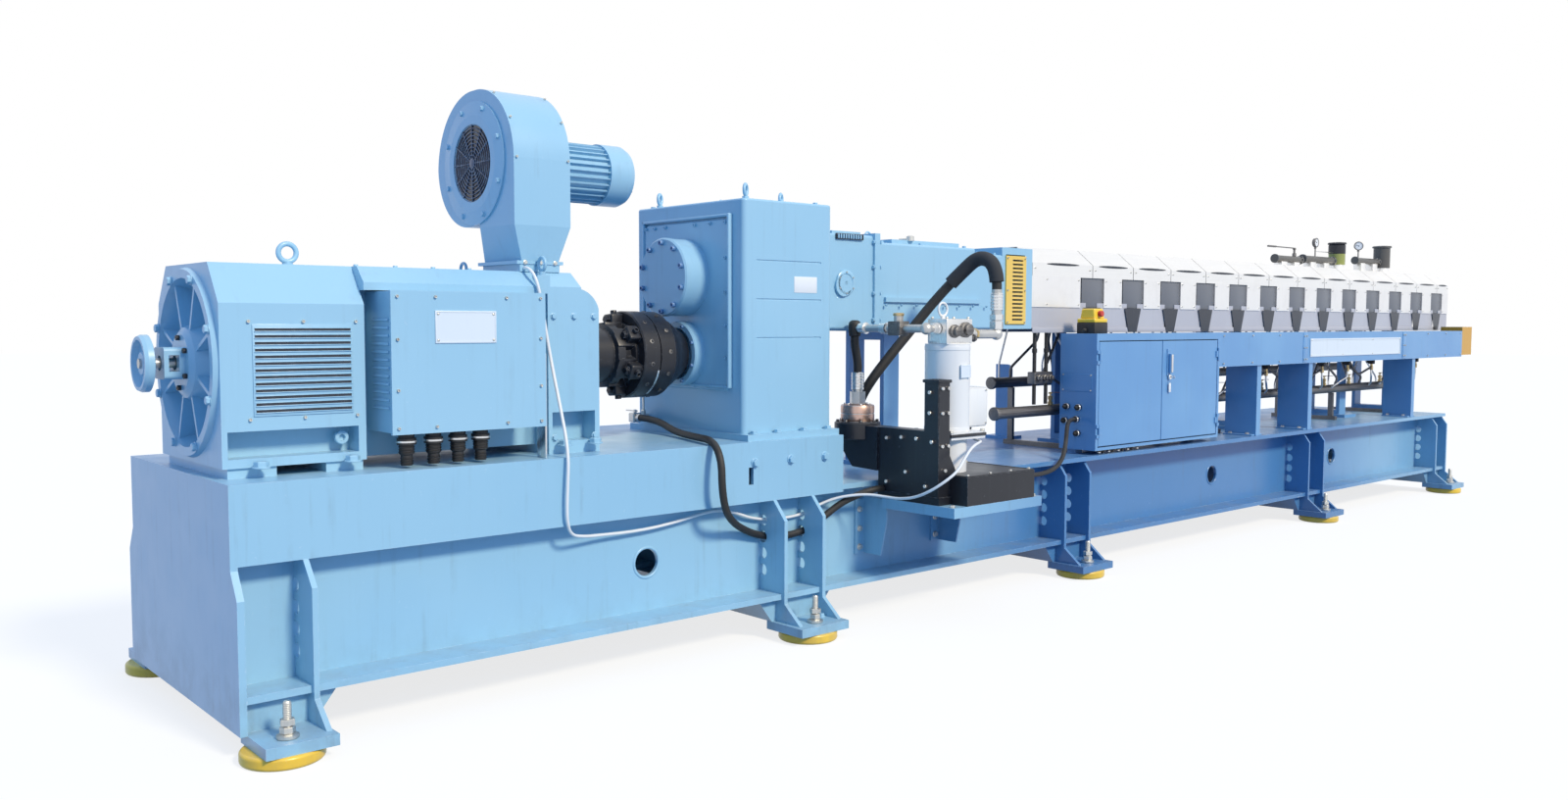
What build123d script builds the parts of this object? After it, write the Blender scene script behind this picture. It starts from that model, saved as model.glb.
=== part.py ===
"""Twin-screw plastic extruder line, in millimetres.

X runs along the machine from the motor end, -Y is the operator's side, +Z is up.
Dimensions run from the motor end of the base and from the base's middle. The last
step moves every piece so that the origin is on the floor, under the middle of the whole
machine's outline.
"""
from math import pi, radians, tan
import os

from build123d import *

# Welded base, measured from its motor end
base_length = 10440
drive_box_half = 612
web_inset = 96
flange_overhang = 60
rail_web_face = drive_box_half - web_inset
rail_flange_edge = drive_box_half + flange_overhang
rail_flange_width = 312
rail_flange_t = 26
rail_web_t = 16
rail_bottom = 193
deck_top = 695
deck_t = 26
drive_box_length = 2915
drive_box_top = 941
drive_box_bottom = 657
fascia_t = 20
fascia_slot_x = (2303, 2331)
fascia_slot_z = (743, 824)
inner_walls_x = (700, 1500, 2133)
deck_neck = 325
end_plate_t = 25
stiffener_pitch = 246
stiffener_t = 20
inner_feet_x = (2577, 4785, 7880)
web_hole_r = 60
web_hole_z = 433
web_hole_x = (1790, 6650, 8520)
notch_r = 28
notch_z = (555, 475, 396, 316)

# Feet and round levelling pads
pad_y = rail_flange_edge + 50
pad_r = 140
pad_h = 45
foot_plate_t = 40
foot_plate_x = 300
foot_plate_y = 250
foot_reach = rail_flange_edge + 128

# The shaft line and the barrel share one upright plane, set off from the base's middle
line_y = -100
shaft_z = 1343
barrel_z = 1713

# Main motor
motor_x = 30
motor_length = 1556
motor_front_length = 519
motor_rear_length = 251
motor_mid_length = motor_length - motor_front_length - motor_rear_length
motor_half = 360
motor_mid_half = 250
motor_top = 1705
motor_skirt = 978
motor_chamfer_y = 110
motor_chamfer_z = 145
motor_mid_chamfer = 62
motor_rear_top = 1548
motor_mid_cover_bottom = 1614
louvre_x = (132, 511)
louvre_z = (1153, 1491)
louvre_count = 13
louvre_plate_t = 14
shield_r = 345
shield_recess = 70
hub_r = 130

# Lifting rings over the motor's long edges
lift_x = 1318
lift_y = (-446, 246)
lift_z = 1690

# Terminal box on the operator's side of the motor
terminal_x = (motor_x + motor_front_length + 51, 1240)
terminal_z = (1080, 1610)
terminal_front = -592
gland_x = [terminal_x[0] + step for step in (75, 184, 286, 383)]
gland_r = 30
gland_length = 128

# Blower that cools the motor
blower_x = 1200
blower_width = 266
blower_z = 2171
scroll_left = 342
scroll_top = 309
scroll_bottom = 247
scroll_right = 333
inlet_r = 172
inlet_ring_r = 262
neck_y = (-409, -95)
neck_inset = 45
neck_flange_t = 45
fan_motor_r = 118
fan_cover_r = 140
fan_motor_end = 1805
fan_cover_end = 1955
fin_count = 28

# Shaft, coupling and hand disc
shaft_r = 70
journal_r = 50
shaft_clear = 8
hand_disc_x = -118
hand_disc_r = 104
spindle_end = 20
coupling_x = motor_x + motor_length + 20
coupling_drum_r = 165
coupling_disc_r = 205
coupling_disc_x = (1940, 2030, 2140)
coupling_end = 2258

# Gearbox
gearbox_x = (2338, 2910)
gearbox_y = (-530, 330)
gearbox_top = 2075
gearbox_foot_h = 30
casing_joint_z = (1788, 1605, 1422)
face_cover_y = (-434, 241)
face_cover_z = (1171, 1984)
face_cover_t = 14
output_cover_x = 2185
output_cover_r = 190
input_cover_x = 2266
input_cover_r = 158

# Distribution housing and lantern between gearbox and barrel
train_half = 280
housing_end = 4440
housing_bottom = 1461
housing_tops = (1955, 1923, 1895)
housing_steps = (3400, 4190)
lantern_end = 4730
lantern_z = (1461, 1940)
lantern_t = 22
grille_x = (4472, 4662)
grille_z = (1490, 1893)
grille_slots = 16

# Barrel and its covers
barrel_pitch = 464
first_gap_x = 5360
barrel_overhang = 760
barrel_end = base_length + barrel_overhang
support_x = (3640, 5590, 7450, base_length - 1140, base_length - 210)
support_half = 150
side_post_x = 5500
side_post_y = (360, 490)
side_post_top = 1210
block_half = 165
screw_centre = 100
screw_r = 60
die_bolts_y = 340
die_bolts_z = 220
die_bolt_r = 13
hood_shoulder = 1862
hood_top = 1962
panel_top = 1782
panel_bottom = 1594
skirt_bottom = 1466
panel_recess = 28
joint_half = 130
joint_slot = 32
clamp_half = 210
cover_sheet = 6
skirt_gap = 124

# Bridge cover, cabinet and the things on them
bridge_x = (5000, base_length + 350)
bridge_y = (-665, -402)
bridge_z = (1200, 1433)
bridge_sheet = 12
cabinet_end = 6450
cabinet_bottom = 722
door_seam_x = 5733
door_t = 18
door_gap = 6
stile = 24
door_opening_z = (740, 1390)
hinge_z = (840, 1290)
hinge_r = 6
pin_r = 2.5
strap = 25
post_x = (7035, 7830, base_length - 690)
post_width = 60

# Glands on the cabinet's motor side, as (y, z)
cabinet_glands = ((-546, 982), (-460, 984), (-531, 908), (-447, 897), (-539, 822))
cabinet_gland_r = 16
cabinet_gland_length = 30

# Cooling pipes below the barrel
manifold_y = (-330, 130)
manifold_z = (955, 1105)
manifold_r = 34
manifold_start = (4450, 4990)
manifold_end = base_length - 190
stand_x = (5200, 7000, base_length - 1540, base_length - 340)

# Vent pipes and pots on the barrel's top
vent_pot_x = barrel_end - 1800
vent_pot_r = 110
second_pot_x = barrel_end - 900
second_pot_r = 120
vent_pipe_r = 38
vent_pipe_z = hood_top + 62
gauge_r = 45

# Oil unit on its shelf in front of the base
oil_x = drive_box_length + 225
shelf_x = (oil_x - 11, oil_x + 673)
shelf_front = -1150
shelf_z = 612
shelf_t = 8
shelf_edge = 50
pump_x = (oil_x, oil_x + 84)
pump_y = (-1037, -636)
pump_base_top = 650
pump_top = 970
pump_column_y = -940
pump_column_top = 1210
pump_flare = 50
tank_end_x = oil_x + 610
tank_top = 752
flange_at = (oil_x + 42, -443)
flange_r = 120
flange_z = (895, 985)
port_at = (oil_x + 130, -359)
port_r = 34
copper_top = 1070
suction_start = 1240
suction_end = 1430
pipe_at = (oil_x + 30, -432)
pipe_z = 1468
motor_at = (oil_x + 212, -905)
motor_r = 112
motor_foot_z = (922, 956)
oil_motor_top = 1392
head_x = (oil_x + 113, oil_x + 300)
head_y = (-985, -865)
head_top = 1513
oil_box_x = (oil_x + 326, oil_x + 500)
oil_box_y = (-925, -815)
oil_box_z = (967, 1170)
elbow_at = (oil_x + 602, -900)
elbow_z = 1440
elbow_top = 1670

drain_at = (2262, 246, 1010)

seat = 0.3


def box(x, y, z):
    """Block between two x values, two y values and two z values."""
    size = (x[1] - x[0], y[1] - y[0], z[1] - z[0])
    middle = ((x[0] + x[1]) / 2, (y[0] + y[1]) / 2, (z[0] + z[1]) / 2)
    return Pos(*middle) * Box(*size)


def prism_x(points, x):
    """Outline in (y, z) carried from x[0] to x[1]."""
    plane = Plane(origin=(x[0], 0, 0), x_dir=(0, 1, 0), z_dir=(1, 0, 0))
    return extrude(plane * Polygon(*points, align=None), amount=x[1] - x[0], dir=(1, 0, 0))


def prism_y(points, y):
    """Outline in (x, z) carried from y[0] to y[1]."""
    plane = Plane(origin=(0, y[0], 0), x_dir=(1, 0, 0), z_dir=(0, -1, 0))
    return extrude(plane * Polygon(*points, align=None), amount=y[1] - y[0], dir=(0, 1, 0))


def rod(start, end, r):
    """Round bar between two points."""
    axis = Vector(*end) - Vector(*start)
    return extrude(Plane(origin=start, z_dir=axis) * Circle(r), amount=axis.length, dir=axis)


def turned(points, y=line_y, z=shaft_z):
    """Turned piece about a line along X, from an outline of (x, radius) points."""
    outline = Plane.XZ * Polygon(*points, align=None)
    return Pos(0, y, z) * revolve(outline, axis=Axis.X)


def both_sides(solid):
    """The piece and its mirror image across the middle of the base."""
    return solid + mirror(solid, about=Plane.XZ)


def joined(solids):
    """One shape from a list of shapes."""
    whole = solids[0]
    for solid in solids[1:]:
        whole = whole + solid
    return whole


foot_x = (stiffener_pitch / 2, *inner_feet_x, base_length - stiffener_pitch / 2)
rib_x = [x + side * stiffener_pitch / 2 for x in foot_x for side in (-1, 1)]
foot_top = pad_h + foot_plate_t
motor_split = (
    motor_x,
    motor_x + motor_front_length,
    motor_x + motor_front_length + motor_mid_length,
    motor_x + motor_front_length + motor_mid_length + motor_rear_length,
)
motor_y = (line_y - motor_half, line_y + motor_half)
train_y = (line_y - train_half, line_y + train_half)
hinge_x = (bridge_x[0] + stile + door_gap / 2, cabinet_end - stile - door_gap / 2)
hinge_y = bridge_y[0] - hinge_r - 1


def base_rails():
    """Two welded beams tied by cross members at every foot."""
    inner = rail_flange_edge - rail_flange_width
    web_top = deck_top - deck_t
    web = box(
        (end_plate_t, base_length),
        (rail_web_face - rail_web_t, rail_web_face),
        (rail_bottom + rail_flange_t, web_top),
    )
    inside = rail_web_face - rail_web_t
    for x in web_hole_x:
        web -= rod((x, inside - 1, web_hole_z), (x, rail_web_face + 1, web_hole_z), web_hole_r)
    flange_z = (rail_bottom, rail_bottom + rail_flange_t)
    flange = box((end_plate_t, base_length), (inner, rail_flange_edge), flange_z)
    rails = both_sides(web + flange)
    tie_y = rail_web_face - rail_web_t
    for x in rib_x[1:]:
        start = min(x, base_length - stiffener_t)
        rails += box((start, start + stiffener_t), (-tie_y, tie_y), (rail_bottom + rail_flange_t, web_top))
    return rails


def base_stiffeners():
    """Upright ribs on the outside of the rails, in pairs over the feet, notched along the web for cables."""
    inner = rail_web_face
    lap = rail_flange_edge + stiffener_t
    foot = (
        (foot_reach, foot_top),
        (rail_flange_edge - 40, foot_top),
        (rail_flange_edge - 40, rail_bottom),
        (rail_flange_edge, rail_bottom),
        (rail_flange_edge, rail_bottom + rail_flange_t),
        (inner, rail_bottom + rail_flange_t),
    )
    under_box = ((inner, drive_box_bottom), (drive_box_half, drive_box_bottom), (lap, drive_box_bottom - 90))
    web_top = deck_top - deck_t
    under_deck = ((inner, web_top), (rail_flange_edge - 30, web_top), (lap, web_top - 70))
    ribs = []
    for x in rib_x[1:]:
        head = under_box if x < drive_box_length else under_deck
        outline = (*head, (lap, rail_bottom - 20), *foot)
        start = min(x, base_length - stiffener_t)
        rib = prism_x(outline, (start, start + stiffener_t))
        for z in notch_z:
            rib -= rod((start - 1, inner + 20, z), (start + stiffener_t + 1, inner + 20, z), notch_r)
        ribs.append(both_sides(rib))
    return joined(ribs)


def end_plate():
    """Full-height plate that closes the motor end of the base."""
    shoulder = drive_box_bottom - 12
    half = (
        (drive_box_half, drive_box_top),
        (drive_box_half, shoulder),
        (rail_flange_edge, shoulder - 95),
        (rail_flange_edge, foot_top),
    )
    points = [(-y, z) for y, z in reversed(half)] + list(half)
    return prism_x(points, (0, end_plate_t))


def base_drive_box():
    """Raised hollow box that carries the motor and the gearbox."""
    x = (end_plate_t, drive_box_length)
    lip = rail_web_face
    outer = box(x, (-drive_box_half, drive_box_half), (drive_box_bottom, drive_box_top))
    inner = box(
        (x[0] - 1, x[1] - fascia_t),
        (-drive_box_half + fascia_t, drive_box_half - fascia_t),
        (drive_box_bottom + fascia_t, drive_box_top - fascia_t),
    )
    mouth = box((x[0] - 1, x[1] + 1), (-lip, lip), (drive_box_bottom - 1, drive_box_bottom + fascia_t))
    slot = box(fascia_slot_x, (-drive_box_half - 1, -drive_box_half + fascia_t + 1), fascia_slot_z)
    walls = outer - inner - mouth - slot
    for wall_x in inner_walls_x:
        walls += box(
            (wall_x, wall_x + fascia_t),
            (-drive_box_half + fascia_t, drive_box_half - fascia_t),
            (deck_top, drive_box_top - fascia_t),
        )
    return walls + end_plate()


def base_deck():
    """Deck plate over the rails, from the raised box to the die end."""
    z = (deck_top - deck_t, deck_top)
    neck_end = drive_box_length + deck_neck
    narrow = box((drive_box_length, neck_end), (-drive_box_half, drive_box_half), z)
    wide = box((neck_end, base_length), (-rail_flange_edge, rail_flange_edge), z)
    return narrow + wide


def base_feet():
    """Cross bearers with a foot plate at each end."""
    feet = []
    top_half = stiffener_pitch / 2 + 110
    low_half = foot_plate_x / 2
    reach = rail_flange_edge - 40
    for x in foot_x:
        left = max(x - top_half, end_plate_t)
        right = min(x + top_half, base_length)
        foot_left = max(x - low_half, end_plate_t)
        foot_right = min(x + low_half, base_length)
        outline = ((left, rail_bottom), (foot_left, foot_top), (foot_right, foot_top), (right, rail_bottom))
        wall = fascia_t
        hollow = (
            (left + wall, rail_bottom - wall),
            (foot_left + wall, foot_top - 1),
            (foot_right - wall, foot_top - 1),
            (right - wall, rail_bottom - wall),
        )
        bearer = prism_y(outline, (-reach, reach)) - prism_y(hollow, (-reach + wall, reach - wall))
        plate = box(
            (foot_left, foot_right),
            (pad_y - foot_plate_y / 2, pad_y + foot_plate_y / 2),
            (pad_h, foot_top),
        )
        feet.append(bearer + both_sides(plate))
    return joined(feet)


def levelling_pads():
    """Round pads with a rounded rim, one under each foot plate."""
    pads = []
    for x in foot_x:
        disc = Pos(x, pad_y, pad_h / 2) * Cylinder(pad_r, pad_h)
        disc = fillet(disc.edges().filter_by(GeomType.CIRCLE), 12)
        pads.append(both_sides(disc))
    return joined(pads)


def motor_outline(half, chamfer_y, chamfer_z, bottom):
    """Upright section of the motor with its upper corners cut off, in (y, z)."""
    return [
        (line_y - half, bottom),
        (line_y + half, bottom),
        (line_y + half, motor_top - chamfer_z),
        (line_y + half - chamfer_y, motor_top),
        (line_y - half + chamfer_y, motor_top),
        (line_y - half, motor_top - chamfer_z),
    ]


def motor_frame():
    """Square laminated frame: front block, slimmer middle and rear end block."""
    x0, x1, x2, x3 = motor_split
    front = prism_x(motor_outline(motor_half, motor_chamfer_y, motor_chamfer_z, motor_skirt), (x0, x1))
    middle = prism_x(motor_outline(motor_mid_half, 1, 1, motor_skirt), (x1, x2))
    cover = prism_x(
        [
            (line_y - motor_half, motor_mid_cover_bottom),
            (line_y + motor_half, motor_mid_cover_bottom),
            (line_y + motor_half, motor_top - motor_mid_chamfer),
            (line_y + motor_half - motor_mid_chamfer, motor_top),
            (line_y - motor_half + motor_mid_chamfer, motor_top),
            (line_y - motor_half, motor_top - motor_mid_chamfer),
        ],
        (x1, x2),
    )
    rear = prism_x(motor_outline(motor_half, motor_mid_chamfer, motor_mid_chamfer, drive_box_top), (x2, x3))
    shoulder = Plane(origin=(0, motor_y[1] + 1, 0), x_dir=(1, 0, 0), z_dir=(0, -1, 0)) * make_face(
        Curve() + [
            Line((x2 + 150, motor_top + 1), (x2 + 165, motor_top - 70)),
            RadiusArc((x2 + 165, motor_top - 70), (x3 + 1, motor_rear_top), 120),
            Line((x3 + 1, motor_rear_top), (x3 + 1, motor_top + 1)),
            Line((x3 + 1, motor_top + 1), (x2 + 150, motor_top + 1)),
        ]
    )
    rear -= extrude(shoulder, amount=2 * motor_half + 2, dir=(0, -1, 0))
    frame = front + middle + cover + rear
    for side in (0, 1):
        wall = motor_y[side]
        depth = (wall - 1, wall + 95) if side == 0 else (wall - 95, wall + 1)
        frame -= box((50, 520), depth, (1010, 1107))
        frame -= box((1338 + 15, 1563), depth, (993, 1117))
    feet = [
        box(x, (motor_y[0] + 12, motor_y[1] - 12), (drive_box_top, motor_skirt))
        for x in ((x0 + 20, x0 + 190), (x1 - 150, x1 - 10))
    ]
    bosses = [
        box((lift_x - 30, lift_x + 30), side, (motor_mid_cover_bottom + 20, lift_z))
        for side in ((motor_y[0], motor_y[0] + 44), (motor_y[1] - 44, motor_y[1]))
    ]
    frame = joined([frame, *feet, *bosses])
    frame -= rod((x0 - 1, line_y, shaft_z), (x0 + shield_recess, line_y, shaft_z), shield_r)
    frame -= rod((x0, line_y, shaft_z), (x3 - 60, line_y, shaft_z), shaft_r + shaft_clear)
    frame -= rod((x0, line_y, shaft_z), (x3 + 1, line_y, shaft_z), shaft_r + seat)
    return frame


def motor_end_shield():
    """Round end shield with rim, radial ribs and a bearing hub."""
    x0 = motor_x
    back = x0 + shield_recess
    bore = journal_r + seat
    body = turned(
        [
            (x0 - 18, shield_r - 34), (x0 - 18, shield_r - 2), (x0, shield_r + 6), (x0, shield_r - seat),
            (back - seat, shield_r - seat), (back - seat, bore), (x0 - 28, bore), (x0 - 28, hub_r - 22),
            (x0 - 12, hub_r), (back - 34, hub_r + 18), (back - 22, hub_r + 34), (back - 22, shield_r - 52),
        ]
    )
    rib = box((x0 - 6, back - 20), (line_y - 7, line_y + 7), (shaft_z + hub_r - 6, shaft_z + shield_r - 30))
    centre = Axis((0, line_y, shaft_z), (1, 0, 0))
    for k in range(8):
        body += rib.rotate(centre, 22.5 + 45 * k)
    return body + encoder_cage()


def louvre_panels():
    """Slotted air panels on both sides of the motor's front block."""
    pitch = (louvre_z[1] - louvre_z[0] - 24) / louvre_count
    front = box(louvre_x, (motor_y[0] - louvre_plate_t, motor_y[0]), louvre_z)
    for k in range(louvre_count):
        z = louvre_z[0] + 12 + pitch * (k + 0.5)
        y = (motor_y[0] - louvre_plate_t - 1, motor_y[0] - 3)
        front -= box((louvre_x[0] + 14, louvre_x[1] - 14), y, (z - 6, z + 5))
    middle = Plane(origin=(0, line_y, 0), z_dir=(0, 1, 0))
    return front + mirror(front, about=middle)


def terminal_box():
    """Deep sheet-metal terminal box beside the middle of the motor."""
    wall = line_y - motor_mid_half
    body = box(terminal_x, (terminal_front + 16, wall), terminal_z)
    lid = box(
        (terminal_x[0] - 6, terminal_x[1] + 6), (terminal_front, terminal_front + 16),
        (terminal_z[0] - 6, terminal_z[1] + 2),
    )
    return body + lid


def cable_glands():
    """Four glands with ribbed sleeves under the terminal box, and small ones on the cabinet's side."""
    y = terminal_front + 62
    top = terminal_z[0] - seat
    low = top - gland_length
    glands = []
    for x in gland_x:
        outline = [
            (0, low), (gland_r - 8, low), (gland_r - 8, low + 40), (gland_r - 2, low + 44),
            (gland_r - 2, low + 78), (gland_r + 6, low + 80), (gland_r + 6, low + 104), (gland_r, low + 106),
            (gland_r, top), (0, top),
        ]
        glands.append(Pos(x, y, 0) * revolve(Plane.XZ * Polygon(*outline, align=None), axis=Axis.Z))
    x = bridge_x[0] - seat
    r = cabinet_gland_r
    for y, z in cabinet_glands:
        nut = rod((x - cabinet_gland_length / 2, y, z), (x, y, z), r + 3)
        glands.append(nut + rod((x - cabinet_gland_length, y, z), (x, y, z), r))
    return joined(glands)


def lifting_ring(x, y, z, ring_r, bar_r, turn=0):
    """Eye bolt: a ring standing on a collar."""
    ring = Pos(0, 0, ring_r + bar_r + 12) * Rot(90, 0, 0) * Torus(ring_r, bar_r)
    collar = Pos(0, 0, 8) * Cylinder(bar_r * 2, 16)
    neck = Pos(0, 0, 15) * Cylinder(bar_r * 1.1, 16)
    return Pos(x, y, z) * Rot(0, 0, turn) * (ring + collar + neck)


def lifting_rings():
    """Eye bolts on the motor and on the gearbox's corners."""
    x0, x1 = gearbox_x
    y0, y1 = gearbox_y
    rings = [lifting_ring(400, line_y, motor_top, 34, 10)]
    for y in lift_y:
        rings.append(lifting_ring(lift_x, y, lift_z, 27, 7, 90))
    for x, y in ((x0 + 75, y0 + 75), (x0 + 60, y1 - 120), (x1 - 75, y0 + 300), (x1 - 75, y1 - 75)):
        rings.append(lifting_ring(x, y, gearbox_top, 26, 8, 35))
    return joined(rings)


def encoder_cage():
    """Open square cage round the shaft, between the hub and the hand disc."""
    x = (motor_x - 28 - 70, motor_x - 28)
    cage = box(x, (line_y - 62, line_y + 62), (shaft_z - 58, shaft_z + 58))
    cage = fillet(cage.edges().filter_by(Axis.X), 14)
    window = box((x[0] + 16, x[1] - 18), (line_y - 63, line_y + 63), (shaft_z - 30, shaft_z + 30))
    bore = rod((x[0] - 1, line_y, shaft_z), (x[1] + 1, line_y, shaft_z), 28)
    return cage - window - bore


def motor_shaft():
    """Armature shaft, stepped down to a spindle at the hand disc."""
    x0 = motor_x - 36
    x3 = motor_split[3]
    spindle = 18
    end = hand_disc_x - spindle_end
    return turned(
        [
            (end, 0), (end, spindle), (x0 + 10, spindle), (x0 + 10, journal_r), (x0 + 125, journal_r),
            (x0 + 125, shaft_r), (x3 + 40, shaft_r), (x3 + 40, 0),
        ]
    )


def hand_disc():
    """Dished disc for barring the motor round by hand."""
    x = hand_disc_x
    r = hand_disc_r
    return turned(
        [
            (x - 12, 18), (x - 12, 40), (x, 48), (x, r - 26), (x - 22, r - 18), (x - 22, r - 6), (x - 10, r),
            (x + 10, r), (x + 14, r - 10), (x + 14, 46), (x + 24, 36), (x + 24, 18),
        ]
    )


def blower_outline(inset):
    """Scroll outline in (y, z): growing arcs round the fan and a straight run to the neck."""
    y, z = line_y, blower_z
    r = inset
    left = (y + scroll_left - r, z)
    top = (y, z + scroll_top - r)
    right = (y - scroll_right + r, z)
    low_right = (y - scroll_right + r, motor_top + 190)
    low_left = (y - 40, z - scroll_bottom + r)
    return Curve() + [
        ThreePointArc(low_left, (y + 0.66 * (scroll_left - r), z - 0.74 * (scroll_bottom + 45 - r)), left),
        ThreePointArc(left, (y + 0.7 * (scroll_left - r), z + 0.7 * (scroll_top + 8 - r)), top),
        ThreePointArc(top, (y - 0.7 * (scroll_right - r), z + 0.71 * (scroll_top + 6 - r)), right),
        Line(right, low_right),
        Line(low_right, (y - 40, motor_top + 190)),
        Line((y - 40, motor_top + 190), low_left),
    ]


def blower_scroll():
    """Sheet-metal scroll housing with its neck down to the motor's top."""
    x = (blower_x, blower_x + blower_width)
    plane = Plane(origin=(x[0], 0, 0), x_dir=(0, 1, 0), z_dir=(1, 0, 0))
    scroll = extrude(plane * make_face(blower_outline(0)), amount=blower_width, dir=(1, 0, 0))
    sheet = 10
    inner_plane = Plane(origin=(x[0] + sheet, 0, 0), x_dir=(0, 1, 0), z_dir=(1, 0, 0))
    hollow = extrude(
        inner_plane * make_face(blower_outline(sheet)), amount=blower_width - 2 * sheet, dir=(1, 0, 0)
    )
    mouth = rod((x[0] - 1, line_y, blower_z), (x[0] + sheet + 1, line_y, blower_z), inlet_r)
    middle_x = (x[0] + x[1]) / 2
    top_y = (line_y - scroll_right, line_y - 40)
    top = Pos(middle_x, sum(top_y) / 2, motor_top + 190) * Rectangle(blower_width, top_y[1] - top_y[0])
    low = Pos(middle_x, sum(neck_y) / 2, motor_top + neck_flange_t) * Rectangle(
        blower_width - 2 * neck_inset, neck_y[1] - neck_y[0]
    )
    neck = loft([low, top])
    flange = box(
        (x[0] + neck_inset - 22, x[1] - neck_inset + 22), (neck_y[0], neck_y[1] + 22),
        (motor_top + neck_flange_t - 14, motor_top + neck_flange_t),
    )
    frame = box(
        (x[0] + neck_inset - 6, x[1] - neck_inset + 6), (neck_y[0] + 4, neck_y[1] + 6),
        (motor_top, motor_top + neck_flange_t),
    )
    return joined([scroll - hollow - mouth, neck, flange, frame, blower_inlet()])


def blower_inlet():
    """Flanged inlet ring with a wire guard across it."""
    x = blower_x
    ring = turned(
        [
            (x - 16, inlet_r + 30), (x - 8, inlet_ring_r), (x, inlet_ring_r), (x, inlet_r - 6),
            (x - 10, inlet_r - 12), (x - 16, inlet_r - 6),
        ],
        z=blower_z,
    )
    guard = turned([(x - 6, 0), (x - 6, inlet_r - 8), (x - 2, inlet_r - 8), (x - 2, 0)], z=blower_z)
    return ring + guard


def blower_motor():
    """Finned motor behind the scroll."""
    x = (blower_x + blower_width, fan_motor_end)
    body = turned([(x[0], 0), (x[0], fan_cover_r), (x[0] + 14, fan_cover_r), (x[0] + 14, fan_motor_r),
                   (x[1], fan_motor_r), (x[1], 0)], z=blower_z)
    fin = box((x[0] + 14, x[1]), (line_y - 2.5, line_y + 2.5), (blower_z, blower_z + fan_cover_r - 6))
    centre = Axis((0, line_y, blower_z), (1, 0, 0))
    for k in range(fin_count):
        body += fin.rotate(centre, 360 * k / fin_count)
    return body + blower_fan_cover()


def blower_fan_cover():
    """Domed cover over the blower motor's own fan."""
    x = (fan_motor_end, fan_cover_end)
    return turned(
        [
            (x[0], 0), (x[0], fan_cover_r), (x[1] - 40, fan_cover_r), (x[1] - 16, fan_cover_r - 12),
            (x[1], fan_cover_r - 38), (x[1], 0),
        ],
        z=blower_z,
    )


def coupling_drum():
    """Motor half of the coupling: hub, ribbed drum and the torque limiter's lugs."""
    x = coupling_x
    face = coupling_disc_x[0]
    r = coupling_drum_r
    bore = shaft_r
    drum = turned(
        [
            (x, bore), (x, r - 45), (x + 60, r - 45), (x + 70, r - 10), (x + 150, r - 10), (x + 156, r - 2),
            (x + 250, r - 2), (x + 256, r), (face, r), (face, 0), (x + 60, 0), (x + 60, bore),
        ]
    )
    centre = Axis((0, line_y, shaft_z), (1, 0, 0))
    lug_z = (shaft_z + r - 20, shaft_z + coupling_disc_r - 6)
    lug = box((x + 120, face - 40), (line_y - 34, line_y + 34), lug_z)
    lug = chamfer(lug.edges().filter_by(Axis.X), 8)
    screw = rod((x + 150, line_y, shaft_z + r), (x + 150, line_y, shaft_z + coupling_disc_r - seat), 13)
    for k in range(6):
        drum += (lug + screw).rotate(centre, 25 + 60 * k)
    return drum


def coupling_discs():
    """The two big discs of the coupling with the socket heads on their rims."""
    a, b, c = coupling_disc_x
    r = coupling_disc_r
    groove = 5
    discs = turned(
        [
            (a, 0), (a, r - 6), (a + 6, r), (b - groove, r), (b - groove, r - 10), (b + groove, r - 10),
            (b + groove, r - 2), (c - 22, r - 2), (c, r - 24), (c, 0),
        ]
    )
    centre = Axis((0, line_y, shaft_z), (1, 0, 0))
    hole = rod((a + 45, line_y, shaft_z + r - 14), (a + 45, line_y, shaft_z + r + 1), 7)
    for k in range(12):
        discs -= hole.rotate(centre, 30 * k)
    return discs


def coupling_hub():
    """Gearbox half of the coupling, tapering to the input shaft."""
    c = coupling_disc_x[2]
    return turned([(c, 0), (c, 176), (c + 30, 168), (coupling_end, 116), (coupling_end, 0)])


def coupling():
    """Whole coupling between motor and gearbox."""
    return joined([coupling_drum(), coupling_discs(), coupling_hub()])


def gearbox_housing():
    """Tall cast housing with rounded upright edges on a bolted foot."""
    body = box(gearbox_x, gearbox_y, (drive_box_top, gearbox_top))
    body = fillet(body.edges().filter_by(Axis.Z), 26)
    body = fillet(body.faces().sort_by(Axis.Z)[-1].edges(), 12)
    foot = box(
        (gearbox_x[0] - 14, gearbox_x[1] + 5),
        (gearbox_y[0] - 50, gearbox_y[1] + 50),
        (drive_box_top, drive_box_top + gearbox_foot_h),
    )
    body += foot
    x0, x1 = gearbox_x
    for z in casing_joint_z:
        body -= box((x0 + 80, x1 - 75), (gearbox_y[0] - 1, gearbox_y[0] + 4), (z - 4, z + 4))
    body -= rod((x0 - 1, line_y, shaft_z), (x0 + 40, line_y, shaft_z), input_cover_r - 30)
    return body


def gearbox_face_cover():
    """Large flat cover on the motor side of the gearbox."""
    plate = box((gearbox_x[0] - face_cover_t, gearbox_x[0]), face_cover_y, face_cover_z)
    plate = fillet(plate.edges().filter_by(Axis.X), 30)
    plate = chamfer(plate.faces().sort_by(Axis.X)[0].edges(), 5)
    for z, r in ((barrel_z, output_cover_r), (shaft_z, input_cover_r)):
        plate -= rod((gearbox_x[0] - face_cover_t - 1, line_y, z), (gearbox_x[0] + 1, line_y, z), r - 4)
    return plate


def output_bearing_cover():
    """Deep round cover over the output bearings."""
    x = (output_cover_x, gearbox_x[0])
    r = output_cover_r
    outline = [
        (x[0], 0), (x[0], r - 8), (x[0] + 8, r), (x[0] + 22, r),
        (x[0] + 22, r - 3), (x[1], r - 3), (x[1], 0),
    ]
    return turned(outline, z=barrel_z)


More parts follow.
